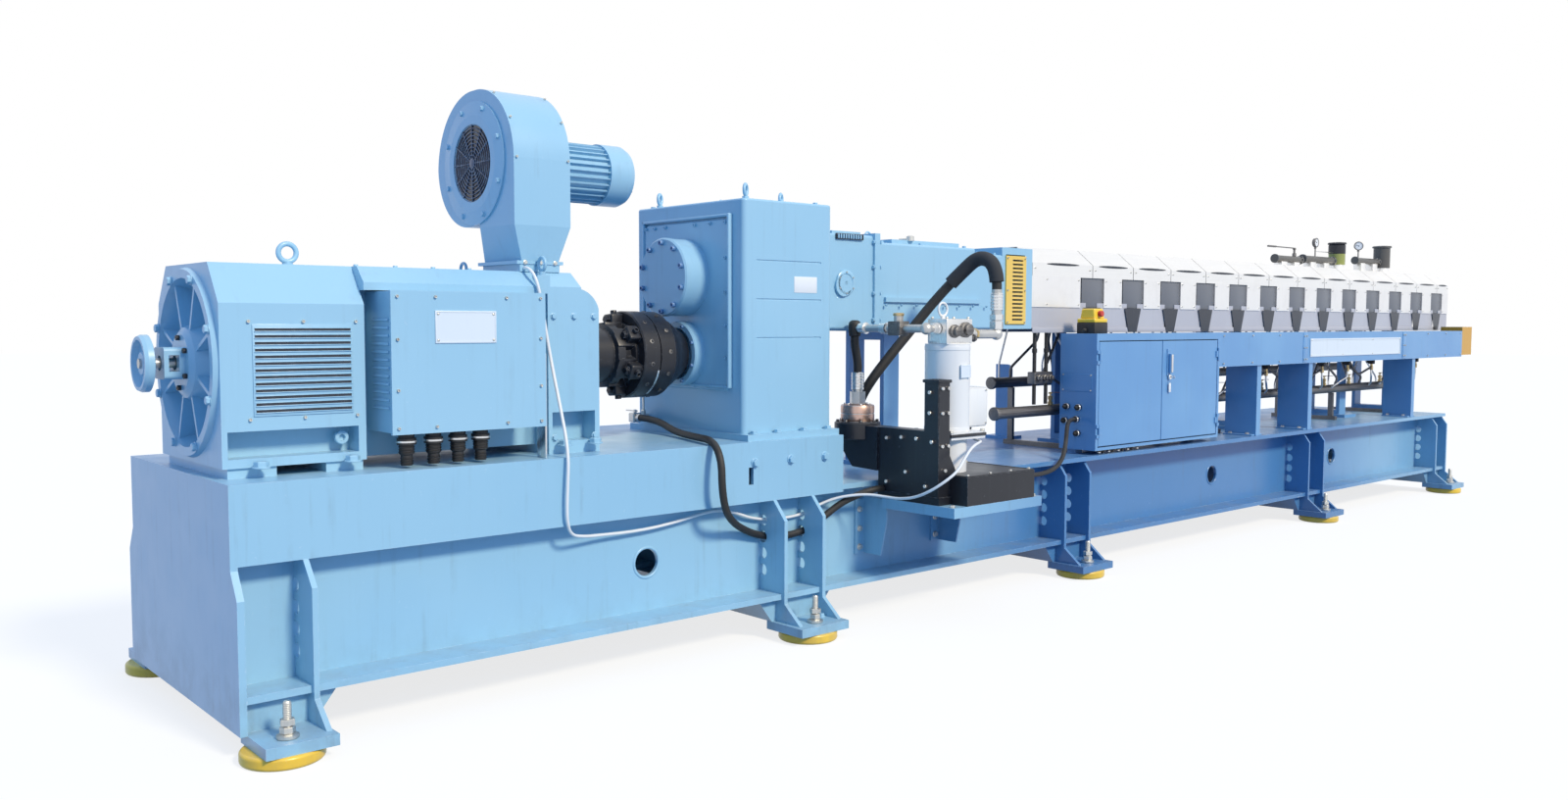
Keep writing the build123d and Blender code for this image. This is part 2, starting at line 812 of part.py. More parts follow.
def gearbox_covers():
    """Face plate with the round covers of both shafts."""
    return joined([gearbox_face_cover(), output_bearing_cover(), input_bearing_cover()])


def input_bearing_cover():
    """Ring cover round the input shaft."""
    x = (input_cover_x, gearbox_x[0])
    r = input_cover_r
    return turned([(x[0], 126), (x[0], r - 6), (x[0] + 6, r), (x[1], r), (x[1], 126)])


def drain_valve():
    """Ball valve low on the gearbox with its outlet to the operator's side."""
    x, y, z = drain_at
    stub = rod((x, y, z), (gearbox_x[0], y, z), 16)
    body = box((x - 26, x + 26), (y - 24, y + 24), (z - 24, z + 24))
    body = chamfer(body.edges(), 5)
    outlet = rod((x, y - 50, z), (x, y, z), 19)
    lever = box((x - 9, x + 9), (y - 12, y + 70), (z + 30, z + 36))
    stem = rod((x, y, z + 20), (x, y, z + 40), 8)
    return joined([stub, body, outlet, lever, stem])


def distribution_housing():
    """Stepped torque-distribution housing with its split flange and ledges."""
    y0, y1 = train_y
    a, b = housing_steps
    parts = [
        box((gearbox_x[1], a), (y0, y1), (housing_bottom, housing_tops[0])),
        box((a, b), (y0, y1), (housing_bottom, housing_tops[1])),
        box((b, housing_end), (y0, y1), (housing_bottom, housing_tops[2])),
    ]
    body = joined([fillet(p.edges().filter_by(Axis.X), 14) for p in parts])
    flange = box((3355, 3395), (y0 - 14, y1 + 14), (housing_bottom - 10, housing_tops[0] + 12))
    ledge = box((3440, 4235), (y0 - 16, y1 + 16), (1607, 1632))
    lid = box((3560, 4120), (y0 + 60, y1 - 60), (housing_tops[1], housing_tops[1] + 26))
    cap = rod((3128, y0 - 14, 1688), (3128, y0 + 10, 1688), 56)
    top_plate = box((3080, 3290), (y0 + 30, y0 + 330), (housing_tops[0], housing_tops[0] + 16))
    return joined([body, flange, ledge, lid, cap, top_plate])


def lantern_frame():
    """Open frame between the distribution housing and the barrel."""
    x = (housing_end, lantern_end)
    y0, y1 = train_y
    outer = box(x, (y0, y1), lantern_z)
    inner_x = (x[0] + lantern_t, x[1] - lantern_t)
    inner_z = (lantern_z[0] + 24, lantern_z[1] - 40)
    inner = box(inner_x, (y0 - 1, y1 + 1), inner_z)
    rails = box((x[0], grille_x[0] + 4), (y0, y1), lantern_z)
    rails += box((grille_x[1] - 4, x[1]), (y0, y1), lantern_z)
    shaft_way = box(inner_x, (y0 + 60, y1 - 60), inner_z)
    core = rod((x[0], line_y, barrel_z), (x[1], line_y, barrel_z), 120)
    return outer - inner + (rails - shaft_way) + core


def lantern_grille():
    """Slotted guard plates over both openings of the lantern."""
    y0 = train_y[0]
    plate = box(grille_x, (y0 - 8, y0), grille_z)
    pitch = (grille_z[1] - grille_z[0] - 30) / grille_slots
    for k in range(grille_slots):
        z = grille_z[0] + 15 + pitch * (k + 0.5)
        plate -= box((grille_x[0] + 60, grille_x[1] - 30), (y0 - 9, y0 + 1), (z - 5, z + 5))
    middle = Plane(origin=(0, line_y, 0), z_dir=(0, 1, 0))
    return plate + mirror(plate, about=middle)


def barrel_gaps():
    """Joints between neighbouring barrel sections, along X."""
    count = int((barrel_end - first_gap_x) / barrel_pitch) + 1
    return [first_gap_x + barrel_pitch * k for k in range(count)]


def barrel_core():
    """Barrel blocks in a row with a clamped joint between each two, ending in the die flange."""
    sides = (line_y - block_half, line_y + block_half)
    blocks = box((lantern_end, barrel_end), sides, (barrel_z - 120, barrel_z + 120))
    joints = [
        box((x - 34, x + 34), (line_y - clamp_half, line_y + clamp_half), (barrel_z - 155, barrel_z + 140))
        for x in barrel_gaps()
    ]
    flange = box(
        (barrel_end - 60, barrel_end), (line_y - 205, line_y + 205), (barrel_z - 160, barrel_z + 150)
    )
    body = joined([blocks, *joints, flange])
    for side in (-1, 1):
        y = line_y + side * screw_centre / 2
        body -= rod((barrel_end - 220, y, barrel_z), (barrel_end + 1, y, barrel_z), screw_r)
        hole_y = line_y + side * die_bolts_y / 2
        for z in (barrel_z - die_bolts_z / 2, barrel_z + die_bolts_z / 2):
            body -= rod((barrel_end - 61, hole_y, z), (barrel_end + 1, hole_y, z), die_bolt_r)
    return body


def barrel_hoods():
    """Stainless roof covers, one over each barrel section."""
    edges = [lantern_end, *barrel_gaps(), barrel_end]
    y0, y1 = train_y
    roof = [
        (y0, panel_top), (y0, hood_shoulder), (y0 + 120, hood_top),
        (y1 - 120, hood_top), (y1, hood_shoulder), (y1, panel_top),
    ]
    hoods = []
    for start, end in zip(edges, edges[1:]):
        outer = prism_x(roof, (start + 3, end - 3))
        inner = prism_x(
            [
                (y0 + 4, panel_top - 1), (y0 + 4, hood_shoulder - 3), (y0 + 122, hood_top - 4),
                (y1 - 122, hood_top - 4), (y1 - 4, hood_shoulder - 3), (y1 - 4, panel_top - 1),
            ],
            (start + 1, end - 1),
        )
        hoods.append(outer - inner)
    return joined(hoods)


def side_plate(x, depth, z):
    """Upright sheets on both sides of the barrel, from one depth under the train's side to another."""
    y0, y1 = train_y
    return box(x, (y0 + depth[0], y0 + depth[1]), z) + box(x, (y1 - depth[1], y1 - depth[0]), z)


def barrel_panels():
    """Bright heater covers between the joints, folded in at both ends."""
    sheet = cover_sheet
    z = (panel_bottom, panel_top)
    fold_z = (panel_bottom + 40, panel_top)
    edges = [lantern_end - joint_half, *barrel_gaps(), barrel_end + joint_half]
    panels = []
    for a, b in zip(edges, edges[1:]):
        start, end = a + joint_half, b - joint_half
        fold = (0, panel_recess + sheet)
        panel = side_plate((start, end), (0, sheet), z)
        panel += side_plate((start, start + sheet), fold, fold_z)
        panel += side_plate((end - sheet, end), fold, fold_z)
        panels.append(panel)
    return joined(panels)


def joint_plates():
    """Grey plates set back at every joint, with the joint's dark slot between their folded edges."""
    sheet = cover_sheet
    z = (panel_bottom, panel_top)
    depth = (panel_recess, panel_recess + sheet)
    fold = (panel_recess, train_half - clamp_half)
    slot = joint_slot / 2
    plates = []
    for x in barrel_gaps():
        for side in (-1, 1):
            near = x + side * slot
            far = x + side * joint_half
            inner = near + side * sheet
            plate = side_plate((min(near, far), max(near, far)), depth, z)
            plate += side_plate((min(near, inner), max(near, inner)), fold, z)
            plates.append(plate)
    return joined(plates)


def barrel_skirts():
    """Lower plates, fastened behind the lower edge of the heater covers."""
    z = (skirt_bottom, panel_bottom + 30)
    edges = [lantern_end - skirt_gap / 2, *barrel_gaps(), barrel_end + skirt_gap / 2]
    skirts = []
    for a, b in zip(edges, edges[1:]):
        skirts.append(side_plate((a + skirt_gap / 2, b - skirt_gap / 2), (cover_sheet, 2 * cover_sheet), z))
    return joined(skirts)


def barrel_side_plates():
    """All grey plates between and under the heater covers."""
    return joined([joint_plates(), barrel_skirts()])


def barrel_supports():
    """Pedestals that carry the lantern and the barrel on the deck."""
    supports = []
    half = support_half
    for x in support_x:
        top = housing_bottom if x < lantern_end else barrel_z - 120
        column = box((x - 60, x + 60), (line_y - half, line_y + half), (deck_top, top))
        hollow = box((x - 61, x + 61), (line_y - half + 30, line_y + half - 30), (deck_top + 60, top - 60))
        foot = box((x - 110, x + 110), (line_y - half - 70, line_y + half + 70), (deck_top, deck_top + 24))
        supports.append(column - hollow + foot)
    return joined([*supports, side_post()])


def side_post():
    """Flat post on the far side of the deck, with its upper corner rounded."""
    x = side_post_x
    y = side_post_y
    post = box((x - 10, x + 10), y, (deck_top, side_post_top))
    upper = post.edges().filter_by(Axis.X).sort_by(Axis.Z)[-2:]
    post = fillet(min(upper, key=lambda edge: edge.center().Y), 40)
    return post + box((x - 80, x + 80), (y[0] - 30, y[1] + 30), (deck_top, deck_top + 20))


def bridge_cover():
    """Long sheet-metal channel with posts down to the deck."""
    t = bridge_sheet
    outer = box(bridge_x, bridge_y, bridge_z)
    inner = box(
        (cabinet_end, bridge_x[1] - t), (bridge_y[0] + t, bridge_y[1] - t), (bridge_z[0] - 1, bridge_z[1] - t)
    )
    body = outer - inner - box((bridge_x[0] - 1, cabinet_end), (bridge_y[0] - 1, bridge_y[1] + 1), bridge_z)
    for x in post_x:
        y = (bridge_y[0] + t, bridge_y[1] - t)
        post = box((x - post_width / 2, x + post_width / 2), y, (deck_top, bridge_z[1] - t))
        post -= box(
            (x - post_width / 2 + 8, x + post_width / 2 + 1), (bridge_y[0] + t + 8, bridge_y[1] - t - 8),
            (deck_top + 20, bridge_z[0]),
        )
        body += post
    return body


def cabinet_box():
    """Terminal cabinet at the end of the bridge, framed round its two doors."""
    t = bridge_sheet
    x = (bridge_x[0], cabinet_end)
    z = (cabinet_bottom, bridge_z[1])
    inside = box((x[0] + t, x[1] - t), (bridge_y[0] + t, bridge_y[1] - t), (z[0] + t, z[1] - t))
    mouth = box((x[0] + stile, x[1] - stile), (bridge_y[0] - 1, bridge_y[0] + t + 1), door_opening_z)
    shell = box(x, bridge_y, z) - inside - mouth
    back = bridge_y[1] - t
    plate = box((x[0] + 60, x[1] - 60), (back - 14, back), (z[0] + 60, z[1] - 60))
    legs = [
        box((leg, leg + 70), (bridge_y[1] - 100, bridge_y[1] - 40), (deck_top, cabinet_bottom))
        for leg in (x[0] + 30, x[1] - 100)
    ]
    pins = [hinge_pins(hinge_x[0], -1), hinge_pins(hinge_x[1], 1)]
    return joined([shell, plate, *legs, *pins])


def cabinet_door(x):
    """Door leaf with folded edges."""
    y = bridge_y[0]
    z = (door_opening_z[0] + door_gap, door_opening_z[1] - door_gap)
    leaf = box(x, (y, y + door_t), z)
    leaf = fillet(leaf.faces().sort_by(Axis.Y)[0].edges(), 4)
    return leaf - box((x[0] + 14, x[1] - 14), (y + 4, y + door_t + 1), (z[0] + 14, z[1] - 14))


def hinge_knuckles(x, side):
    """Knuckles of a door's two hinges, with the strap on the leaf; side points to the leaf."""
    y = hinge_y
    knuckles = []
    for z in hinge_z:
        tube = rod((x, y, z - 20), (x, y, z + 20), hinge_r)
        tube += box(sorted((x, x + side * strap)), (y - 1, bridge_y[0]), (z - 20, z + 20))
        knuckles.append(tube - rod((x, y, z - 21), (x, y, z + 21), pin_r + seat))
    return knuckles


def hinge_pins(x, side):
    """Pins and fixed knuckles above and below each door knuckle; side points to what holds them."""
    y = hinge_y
    fixed = []
    for z in hinge_z:
        pins = rod((x, y, z - 42), (x, y, z + 42), pin_r)
        for start in (z - 42, z + 21):
            ends = (start, start + 21)
            pins += rod((x, y, ends[0]), (x, y, ends[1]), hinge_r)
            pins += box(sorted((x, x + side * strap)), (y - 1, bridge_y[0]), ends)
        fixed.append(pins)
    return joined(fixed)


def door_lock():
    """Swing handle lock near the doors' meeting edge."""
    x = door_seam_x + 75
    y = bridge_y[0]
    plate = box((x - 24, x + 24), (y - 6, y), (1160, 1330))
    grip = box((x - 14, x + 14), (y - 24, y - 6), (1175, 1300))
    return plate + fillet(grip.edges().filter_by(Axis.Z), 5)


def stop_box():
    """Emergency stop box on the cabinet's top."""
    x = (bridge_x[0] + 60, bridge_x[0] + 200)
    y = (bridge_y[0] + 60, bridge_y[0] + 190)
    z = bridge_z[1]
    base = box(x, y, (z, z + 56))
    hood = box((x[0] + 6, x[1] - 6), (y[0] + 6, y[1] - 6), (z + 56, z + 100))
    return base + chamfer(hood.faces().sort_by(Axis.Z)[-1].edges(), 10)


def end_guard():
    """Two guard plates at the die end of the bridge."""
    y = bridge_y[0]
    z = (1214, 1470)
    x = bridge_x[1]
    near = box((x, x + 230), (y, y + 6), z)
    far = box((x + 200, x + 206), (y, y + 260), z)
    return near + far


def vacuum_unit():
    """Vent pipes with pots and gauges on the barrel's top."""
    y = line_y
    z = vent_pipe_z
    pot, second = vent_pot_x, second_pot_x
    parts = [
        rod((pot - 1130, y, z), (pot - 140, y, z), vent_pipe_r),
        rod((second - 550, y, z), (second - 140, y, z), vent_pipe_r - 4),
        rod((pot, y, hood_top), (pot, y, hood_top + 210), vent_pot_r),
        rod((second, y, hood_top), (second, y, hood_top + 215), second_pot_r),
    ]
    for x in (pot - 1110, pot - 840, pot - 760, pot - 440, pot - 380):
        parts.append(rod((x - 12, y, z), (x + 12, y, z), vent_pipe_r + 24))
    for x in (pot - 980, pot - 520, second - 450):
        parts.append(rod((x, y, hood_top), (x, y, z), 24))
    parts.append(rod((pot - 980, y, z), (pot - 980, y, z + 88), 16))
    for x in (pot - 450, second - 470):
        parts.append(rod((x, y, z), (x, y, z + 78), 12))
        parts.append(rod((x, y - 16, z + 118), (x, y + 16, z + 118), gauge_r))
    return joined(parts)


def water_manifold():
    """Two header pipes along the machine, under the barrel, laid on posts that stand on cross bars."""
    pieces = []
    bar_top = deck_top + 30
    for y, z, start in zip(manifold_y, manifold_z, manifold_start):
        pieces.append(rod((start, y, z), (manifold_end, y, z), manifold_r))
    for x in stand_x:
        pieces.append(box((x - 20, x + 20), (manifold_y[0] - 45, manifold_y[1] + 45), (deck_top, bar_top)))
        for y, z in zip(manifold_y, manifold_z):
            pieces.append(box((x - 12, x + 12), (y - 20, y + 20), (bar_top + seat, z - manifold_r - seat)))
    return joined(pieces)


def oil_shelf():
    """Shelf with turned-down edges on two brackets bolted to the rail's web."""
    web = -rail_web_face
    back = -rail_flange_edge - 2
    plate = box(shelf_x, (shelf_front, back), (shelf_z - shelf_t, shelf_z))
    edge_z = (shelf_z - shelf_edge, shelf_z)
    front = box(shelf_x, (shelf_front, shelf_front + shelf_t), edge_z)
    parts = [plate, front]
    for start in (shelf_x[0], shelf_x[1] - shelf_t):
        parts.append(box((start, start + shelf_t), (shelf_front, back), edge_z))
    for x in (shelf_x[0] + 20, shelf_x[1] - 80):
        parts.append(box((x - 60, x), (web - 10, web), (shelf_z - 300, shelf_z - 20)))
        arm = (
            (web, shelf_z - shelf_t), (web, shelf_z - 300), (web - 130, shelf_z - 300),
            (web - 170, shelf_z - 120), (web - 170, shelf_z - shelf_t),
        )
        parts.append(prism_x(arm, (x, x + 10)))
    return joined(parts)


def oil_pump_block():
    """Cast pump: tall slim body with a column, an arm with the round flange, and a low tank beside it."""
    x0, x1 = pump_x
    front, back = pump_y
    base = box((x0 - 4, x1 + 20), (front - 10, back), (shelf_z, pump_base_top))
    body = box(pump_x, pump_y, (pump_base_top, pump_top))
    column = box(pump_x, (front, pump_column_y), (pump_base_top, pump_column_top))
    column = chamfer(column.edges().filter_by(Axis.Z), 5)
    flare = ((x1, 850), (x1, pump_base_top), (x1 + pump_flare, pump_base_top), (x1 + pump_flare, 766))
    foot = prism_y(flare, (front, front + 40))
    fx, fy = flange_at
    z0, z1 = flange_z
    disc = rod((fx, fy, z0), (fx, fy, z1), flange_r)
    disc = chamfer(disc.edges().filter_by(GeomType.CIRCLE), 6)
    port = rod((*port_at, z0 + 10), (*port_at, z1 + 15), port_r)
    neck = ((fy + 107, z0), (fy - 14, z0 - 140), (back, z0 - 147), (back, z1 - 15), (fy, z1 - 15))
    arm = prism_x(neck, (x0 - 10, x1 + 10))
    tank = box((x1 + 1, tank_end_x), (shelf_front, -rail_flange_edge - 28), (shelf_z, tank_top))
    return joined([base, body, column, foot, disc, port, arm, tank])


def oil_fittings():
    """Bare metal flange, fittings, pipes and elbow of the oil circuit, and the gearbox's drain valve."""
    x, y = flange_at
    z = flange_z[1]
    ferrule_z = copper_top + 70
    flange = rod((x, y, z), (x, y, copper_top), 86)
    nut = extrude(Pos(x, y, copper_top) * RegularPolygon(42, 6), amount=70, dir=(0, 0, 1))
    ferrule = rod((x, y, ferrule_z), (x, y, suction_start), 27)
    suction = joined([flange, nut, ferrule])
    px, py = pipe_at
    turn_y = head_y[0] + 60
    cuff = rod((px, py, suction_end), (px, py, pipe_z), 26)
    pipe = rod((px, py, pipe_z), (px, turn_y, pipe_z), 20)
    valve = box((px - 34, px + 34), (turn_y + 150, turn_y + 220), (pipe_z - 34, pipe_z + 34))
    knob = rod((px, turn_y + 185, pipe_z), (px, turn_y + 185, pipe_z + 66), 24)
    inlet = rod((px, turn_y, pipe_z), (head_x[0], turn_y, pipe_z), 20)
    corners = [Pos(px, at_y, pipe_z) * Sphere(30) for at_y in (py, turn_y)]
    supply = joined([cuff, pipe, valve, knob, inlet, *corners])
    ex, ey = elbow_at
    drop = rod((ex, ey, elbow_top), (ex, ey, elbow_z), 27)
    run = rod((head_x[1], ey, elbow_z), (ex, ey, elbow_z), 24)
    collar = rod((head_x[1], ey, elbow_z), (head_x[1] + 60, ey, elbow_z), 38)
    delivery = joined([drop, run, collar, Pos(ex, ey, elbow_z) * Sphere(32)])
    return joined([suction, supply, delivery, drain_valve()])


def oil_motor():
    """Upright electric motor on its stand, with a terminal box on its side and the filter head on top."""
    x, y = motor_at
    z0, z1 = motor_foot_z
    stand = rod((x, y, tank_top), (x, y, z0), motor_r - 12)
    foot = box((x - 110, x + 148), (y - 125, y + 125), motor_foot_z)
    body = rod((x, y, z1), (x, y, oil_motor_top), motor_r)
    boss = box((x, oil_box_x[0]), (y - 30, y + 30), (oil_box_z[0] + 40, oil_box_z[1] - 40))
    lid_box = box(oil_box_x, oil_box_y, oil_box_z)
    lid_box = fillet(lid_box.edges().filter_by(Axis.Y), 16)
    head = box(head_x, head_y, (oil_motor_top, head_top))
    ring = lifting_ring(head_x[0] + 37, (head_y[0] + head_y[1]) / 2, head_top, 32, 6)
    return joined([stand, foot, body, boss, lid_box, head, ring])


hose_report = []


def hose(name, points, r):
    """Round hose of straight runs joined by wide arcs."""
    radii = []
    for before, here, after in zip(points, points[1:], points[2:]):
        run_in = Vector(*here) - Vector(*before)
        run_out = Vector(*after) - Vector(*here)
        half_turn = radians(run_in.get_angle(run_out)) / 2
        radii.append(0.45 * min(run_in.length, run_out.length) / tan(half_turn))
    path = FilletPolyline(*points, radius=radii)
    tube = sweep(Plane(origin=path @ 0, z_dir=path % 0) * Circle(r), path=path)
    hose_report.append((name, [round(radius) for radius in radii], tube.volume / (pi * r * r * path.length)))
    return tube


def drain_hose():
    """Black hose from the drain valve over the raised box, along the web and up to the pump."""
    x, y, z = drain_at
    points = [
        (x, y - 50 - seat, z), (x, 60, z), (2225, -150, 963), (2140, -420, 963), (2078, -635, 966),
        (2066, -705, 880), (2066, -708, 760), (2100, -688, 660), (2180, -630, 595), (2290, -566, 538),
        (2400, -542, 492), (2515, -538, 467), (2625, -537, 463), (2735, -540, 478), (2835, -552, 530),
        (oil_x - 220, -580, 592), (oil_x - 142, -630, 636), (oil_x - 68, -670, 662),
        (oil_x - 4 - seat, -670, 662),
    ]
    return hose("drain_hose", points, 17)


def pressure_hose():
    """Thick hose from the pump's port up beside the housing and over into the elbow."""
    px, py = port_at
    ex, ey = elbow_at
    points = [
        (px, py, flange_z[1] + 15 + seat), (px, py, 1070), (px + 55, -398, 1190), (px + 160, -452, 1335),
        (px + 275, -500, 1475), (ex - 102, -575, 1625), (ex - 37, -688, 1760), (ex - 4, -786, 1850),
        (ex, ey, 1795), (ex, ey, elbow_top + seat),
    ]
    return hose("pressure_hose", points, 26)


def suction_hose():
    """Short hose from the round flange up to the pipe of the filter head."""
    x, y = flange_at
    px, py = pipe_at
    points = [
        (x, y, suction_start + seat), (x, y, 1285), (px + 6, py - 6, 1335), (px, py, 1385),
        (px, py, suction_end - seat),
    ]
    return hose("suction_hose", points, 22)


def blower_cable():
    """Pale cable from the blower's neck down the motor, along the web and up to the oil motor."""
    points = [
        (1258, neck_y[0] + 3, 1720), (1258, -442, 1720), (1272, -474, 1680), (1290, -480, 1600),
        (1304, -484, 1500), (1316, -494, 1400), (1324, -514, 1300), (1328, -544, 1200), (1328, -578, 1105),
        (1326, -612, 1015), (1321, -634, 925), (1315, -636, 835), (1311, -636, 750), (1314, -632, 675),
        (1345, -610, 618), (1425, -578, 598), (1545, -556, 590), (1680, -546, 585), (1820, -545, 590),
        (1960, -545, 606), (2080, -545, 626), (2180, -545, 632), (2280, -543, 608), (2370, -538, 574),
        (2464, -536, 556), (2585, -536, 549), (2710, -536, 557), (2805, -541, 592),
    ]
    risers = (
        (-255, -580, 624), (-190, -640, 640), (-130, -700, 645), (-88, -775, 636), (-80, -860, 634),
        (-78, -960, 652), (-66, -1045, 690), (-30, -1108, 740), (36, -1128, 785), (110, -1108, 840),
        (200, -1080, 890), (300, -1050, 905), (380, -985, 900), (412, -905, 905), (416, -880, 935),
        (416, -880, oil_box_z[0] - seat),
    )
    points += [(oil_x + step, y, z) for step, y, z in risers]
    return hose("blower_cable", points, 7)


def cabinet_cable():
    """Black cable from a gland on the cabinet down past the deck's edge to the oil unit's tank."""
    y, z = cabinet_glands[2]
    x = bridge_x[0] - cabinet_gland_length - 2 * seat
    sag = (
        (0.940, y, z), (0.888, -560, 885), (0.824, -612, 830), (0.752, -668, 765), (0.676, -716, 705),
        (0.592, -744, 664), (0.496, -762, 648), (0.392, -778, 648), (0.288, -794, 655),
        (0.192, -810, 667), (0.112, -828, 682), (0.052, -840, 690),
    )
    span = bridge_x[0] - tank_end_x
    points = [(x, y, z)]
    points += [(tank_end_x + part * span, at_y, at_z) for part, at_y, at_z in sag]
    points.append((tank_end_x + seat, -840, 690))
    return hose("cabinet_cable", points, 13)


def pieces():
    """Every sub-part by its name."""
    left = (hinge_x[0] + door_gap / 2, door_seam_x - door_gap / 2)
    right = (door_seam_x + door_gap / 2, hinge_x[1] - door_gap / 2)
    return {
        "base_rails": base_rails(),
        "base_stiffeners": base_stiffeners(),
        "base_drive_box": base_drive_box(),
        "base_deck": base_deck(),
        "base_feet": base_feet(),
        "levelling_pads": levelling_pads(),
        "motor_frame": motor_frame(),
        "motor_end_shield": motor_end_shield(),
        "louvre_panels": louvre_panels(),
        "terminal_box": terminal_box(),
        "cable_glands": cable_glands(),
        "lifting_rings": lifting_rings(),
        "motor_shaft": motor_shaft(),
        "hand_disc": hand_disc(),
        "coupling": coupling(),
        "blower_scroll": blower_scroll(),
        "blower_motor": blower_motor(),
        "gearbox_housing": gearbox_housing(),
        "gearbox_covers": gearbox_covers(),
        "distribution_housing": distribution_housing(),
        "lantern_frame": lantern_frame(),
        "lantern_grille": lantern_grille(),
        "barrel_core": barrel_core(),
        "barrel_hoods": barrel_hoods(),
        "barrel_panels": barrel_panels(),
        "barrel_side_plates": barrel_side_plates(),
        "barrel_supports": barrel_supports(),
        "bridge_cover": bridge_cover(),
        "cabinet_box": cabinet_box(),
        "cabinet_door_left": joined([cabinet_door(left), *hinge_knuckles(hinge_x[0], 1)]),
        "cabinet_door_right": joined([cabinet_door(right), door_lock(), *hinge_knuckles(hinge_x[1], -1)]),
        "stop_box": stop_box(),
        "end_guard": end_guard(),
        "vacuum_unit": vacuum_unit(),
        "water_manifold": water_manifold(),
        "oil_shelf": oil_shelf(),
        "oil_pump_block": oil_pump_block(),
        "oil_fittings": oil_fittings(),
        "oil_motor": oil_motor(),
        "drain_hose": drain_hose(),
        "pressure_hose": pressure_hose(),
        "suction_hose": suction_hose(),
        "blower_cable": blower_cable(),
        "cabinet_cable": cabinet_cable(),
    }


def main():
    os.makedirs("parts", exist_ok=True)
    to_middle = Pos(-(hand_disc_x - spindle_end + barrel_end) / 2, -(shelf_front + pad_y + pad_r) / 2, 0)
    for name, solid in pieces().items():
        export_step(to_middle * solid, f"parts/{name}.step")
    for name, radii, fill in hose_report:
        print(f"{name}: arc radii {radii}, volume against section times length {fill:.3f}")


main()
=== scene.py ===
"""Looks of the plastic extruder line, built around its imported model.

Places are written in millimetres from the motor end of the base, as on the drawing,
and turned into the model's metres by at().
"""
import functools
import itertools
import math

import bpy
from mathutils import Euler, Matrix, Vector


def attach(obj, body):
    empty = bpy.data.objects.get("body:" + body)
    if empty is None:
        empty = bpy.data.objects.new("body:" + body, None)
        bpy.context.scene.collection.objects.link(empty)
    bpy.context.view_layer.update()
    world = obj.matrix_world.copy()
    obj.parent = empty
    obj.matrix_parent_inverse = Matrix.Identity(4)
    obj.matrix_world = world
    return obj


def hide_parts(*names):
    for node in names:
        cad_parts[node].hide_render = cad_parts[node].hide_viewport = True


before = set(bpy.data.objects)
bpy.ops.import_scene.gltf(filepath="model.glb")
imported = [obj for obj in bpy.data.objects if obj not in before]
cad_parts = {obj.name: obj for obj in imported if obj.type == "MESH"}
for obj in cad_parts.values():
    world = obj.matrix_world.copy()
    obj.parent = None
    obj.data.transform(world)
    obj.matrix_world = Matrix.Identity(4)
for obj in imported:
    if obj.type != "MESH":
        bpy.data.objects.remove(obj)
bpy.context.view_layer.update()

ORIGIN = Vector((-5.531, 0.144, 0.0))
LEFT, RIGHT, FRONT, BACK, UP, DOWN = (-1, 0, 0), (1, 0, 0), (0, -1, 0), (0, 1, 0), (0, 0, 1), (0, 0, -1)

# Centre lines along X, as (y, z), and places that several details share

LINE_Y = -100
SHAFT = (LINE_Y, 1343)
BARREL = (LINE_Y, 1713)
BLOWER = (LINE_Y, 2171)
FOOT_X = (123, 2577, 4785, 7880, 10317)
GLAND_X = (675, 784, 886, 983)
POST_X = (7035, 7830, 9750)
LID_Y = -592
BRIDGE_Y = -665
SECTION = 464
BARREL_ENDS = (4730, 11200)
FIRST_GAP = 5360
GAP_HALF = 129
HOOD_TOP = 1962


def at(x, y, z):
    """A point of the drawing, in metres in the model's frame."""
    return Vector((x, y, z)) / 1000 + ORIGIN


# Shader building blocks

COLOUR, NUMBER = "NodeSocketColor", "NodeSocketFloat"
SURFACE = {"Color": COLOUR, "Roughness": NUMBER, "Height": NUMBER}


class Net:
    """A node tree, with short calls for the nodes that it often needs."""

    def __init__(self, tree):
        tree.nodes.clear()
        self.tree = tree

    def feed(self, value, socket):
        """Links a socket, or sets a plain value."""
        if isinstance(value, bpy.types.NodeSocket):
            self.tree.links.new(value, socket)
        else:
            socket.default_value = value

    def add(self, kind, inputs=None, **settings):
        """Adds a node with its settings and its input values."""
        node = self.tree.nodes.new("ShaderNode" + kind)
        for name, value in settings.items():
            setattr(node, name, value)
        for name, value in (inputs or {}).items():
            self.feed(value, node.inputs[name])
        return node

    def calc(self, operation, a, b, clamp=False):
        return self.add("Math", {0: a, 1: b}, operation=operation, use_clamp=clamp).outputs[0]

    def times(self, *values):
        return functools.reduce(functools.partial(self.calc, "MULTIPLY"), values)

    def plus(self, *values):
        return functools.reduce(functools.partial(self.calc, "ADD"), values)

    def blend(self, share, a, b):
        """Colour a, mixed with colour b by the share."""
        return self.add("Mix", {"Factor": share, 6: a, 7: b}, data_type="RGBA").outputs[2]

    def ramp(self, value, low, high):
        """0 under low, 1 over high, smooth between."""
        inputs = {"Value": value, "From Min": low, "From Max": high}
        return self.add("MapRange", inputs, interpolation_type="SMOOTHSTEP").outputs["Result"]

    def noise(self, coords, scale, detail=3.0, roughness=0.55):
        inputs = {"Vector": coords, "Scale": scale, "Detail": detail, "Roughness": roughness}
        return self.add("TexNoise", inputs).outputs["Fac"]

    def coords(self, scale=None):
        """Object coordinates, stretched by a scale where one is given."""
        plain = self.add("TexCoord").outputs["Object"]
        return self.add("Mapping", {"Vector": plain, "Scale": scale}).outputs["Vector"] if scale else plain

    def part(self, vector, axis):
        return self.add("SeparateXYZ", {"Vector": vector}).outputs[axis]

    def normal(self):
        return self.add("NewGeometry").outputs["Normal"]


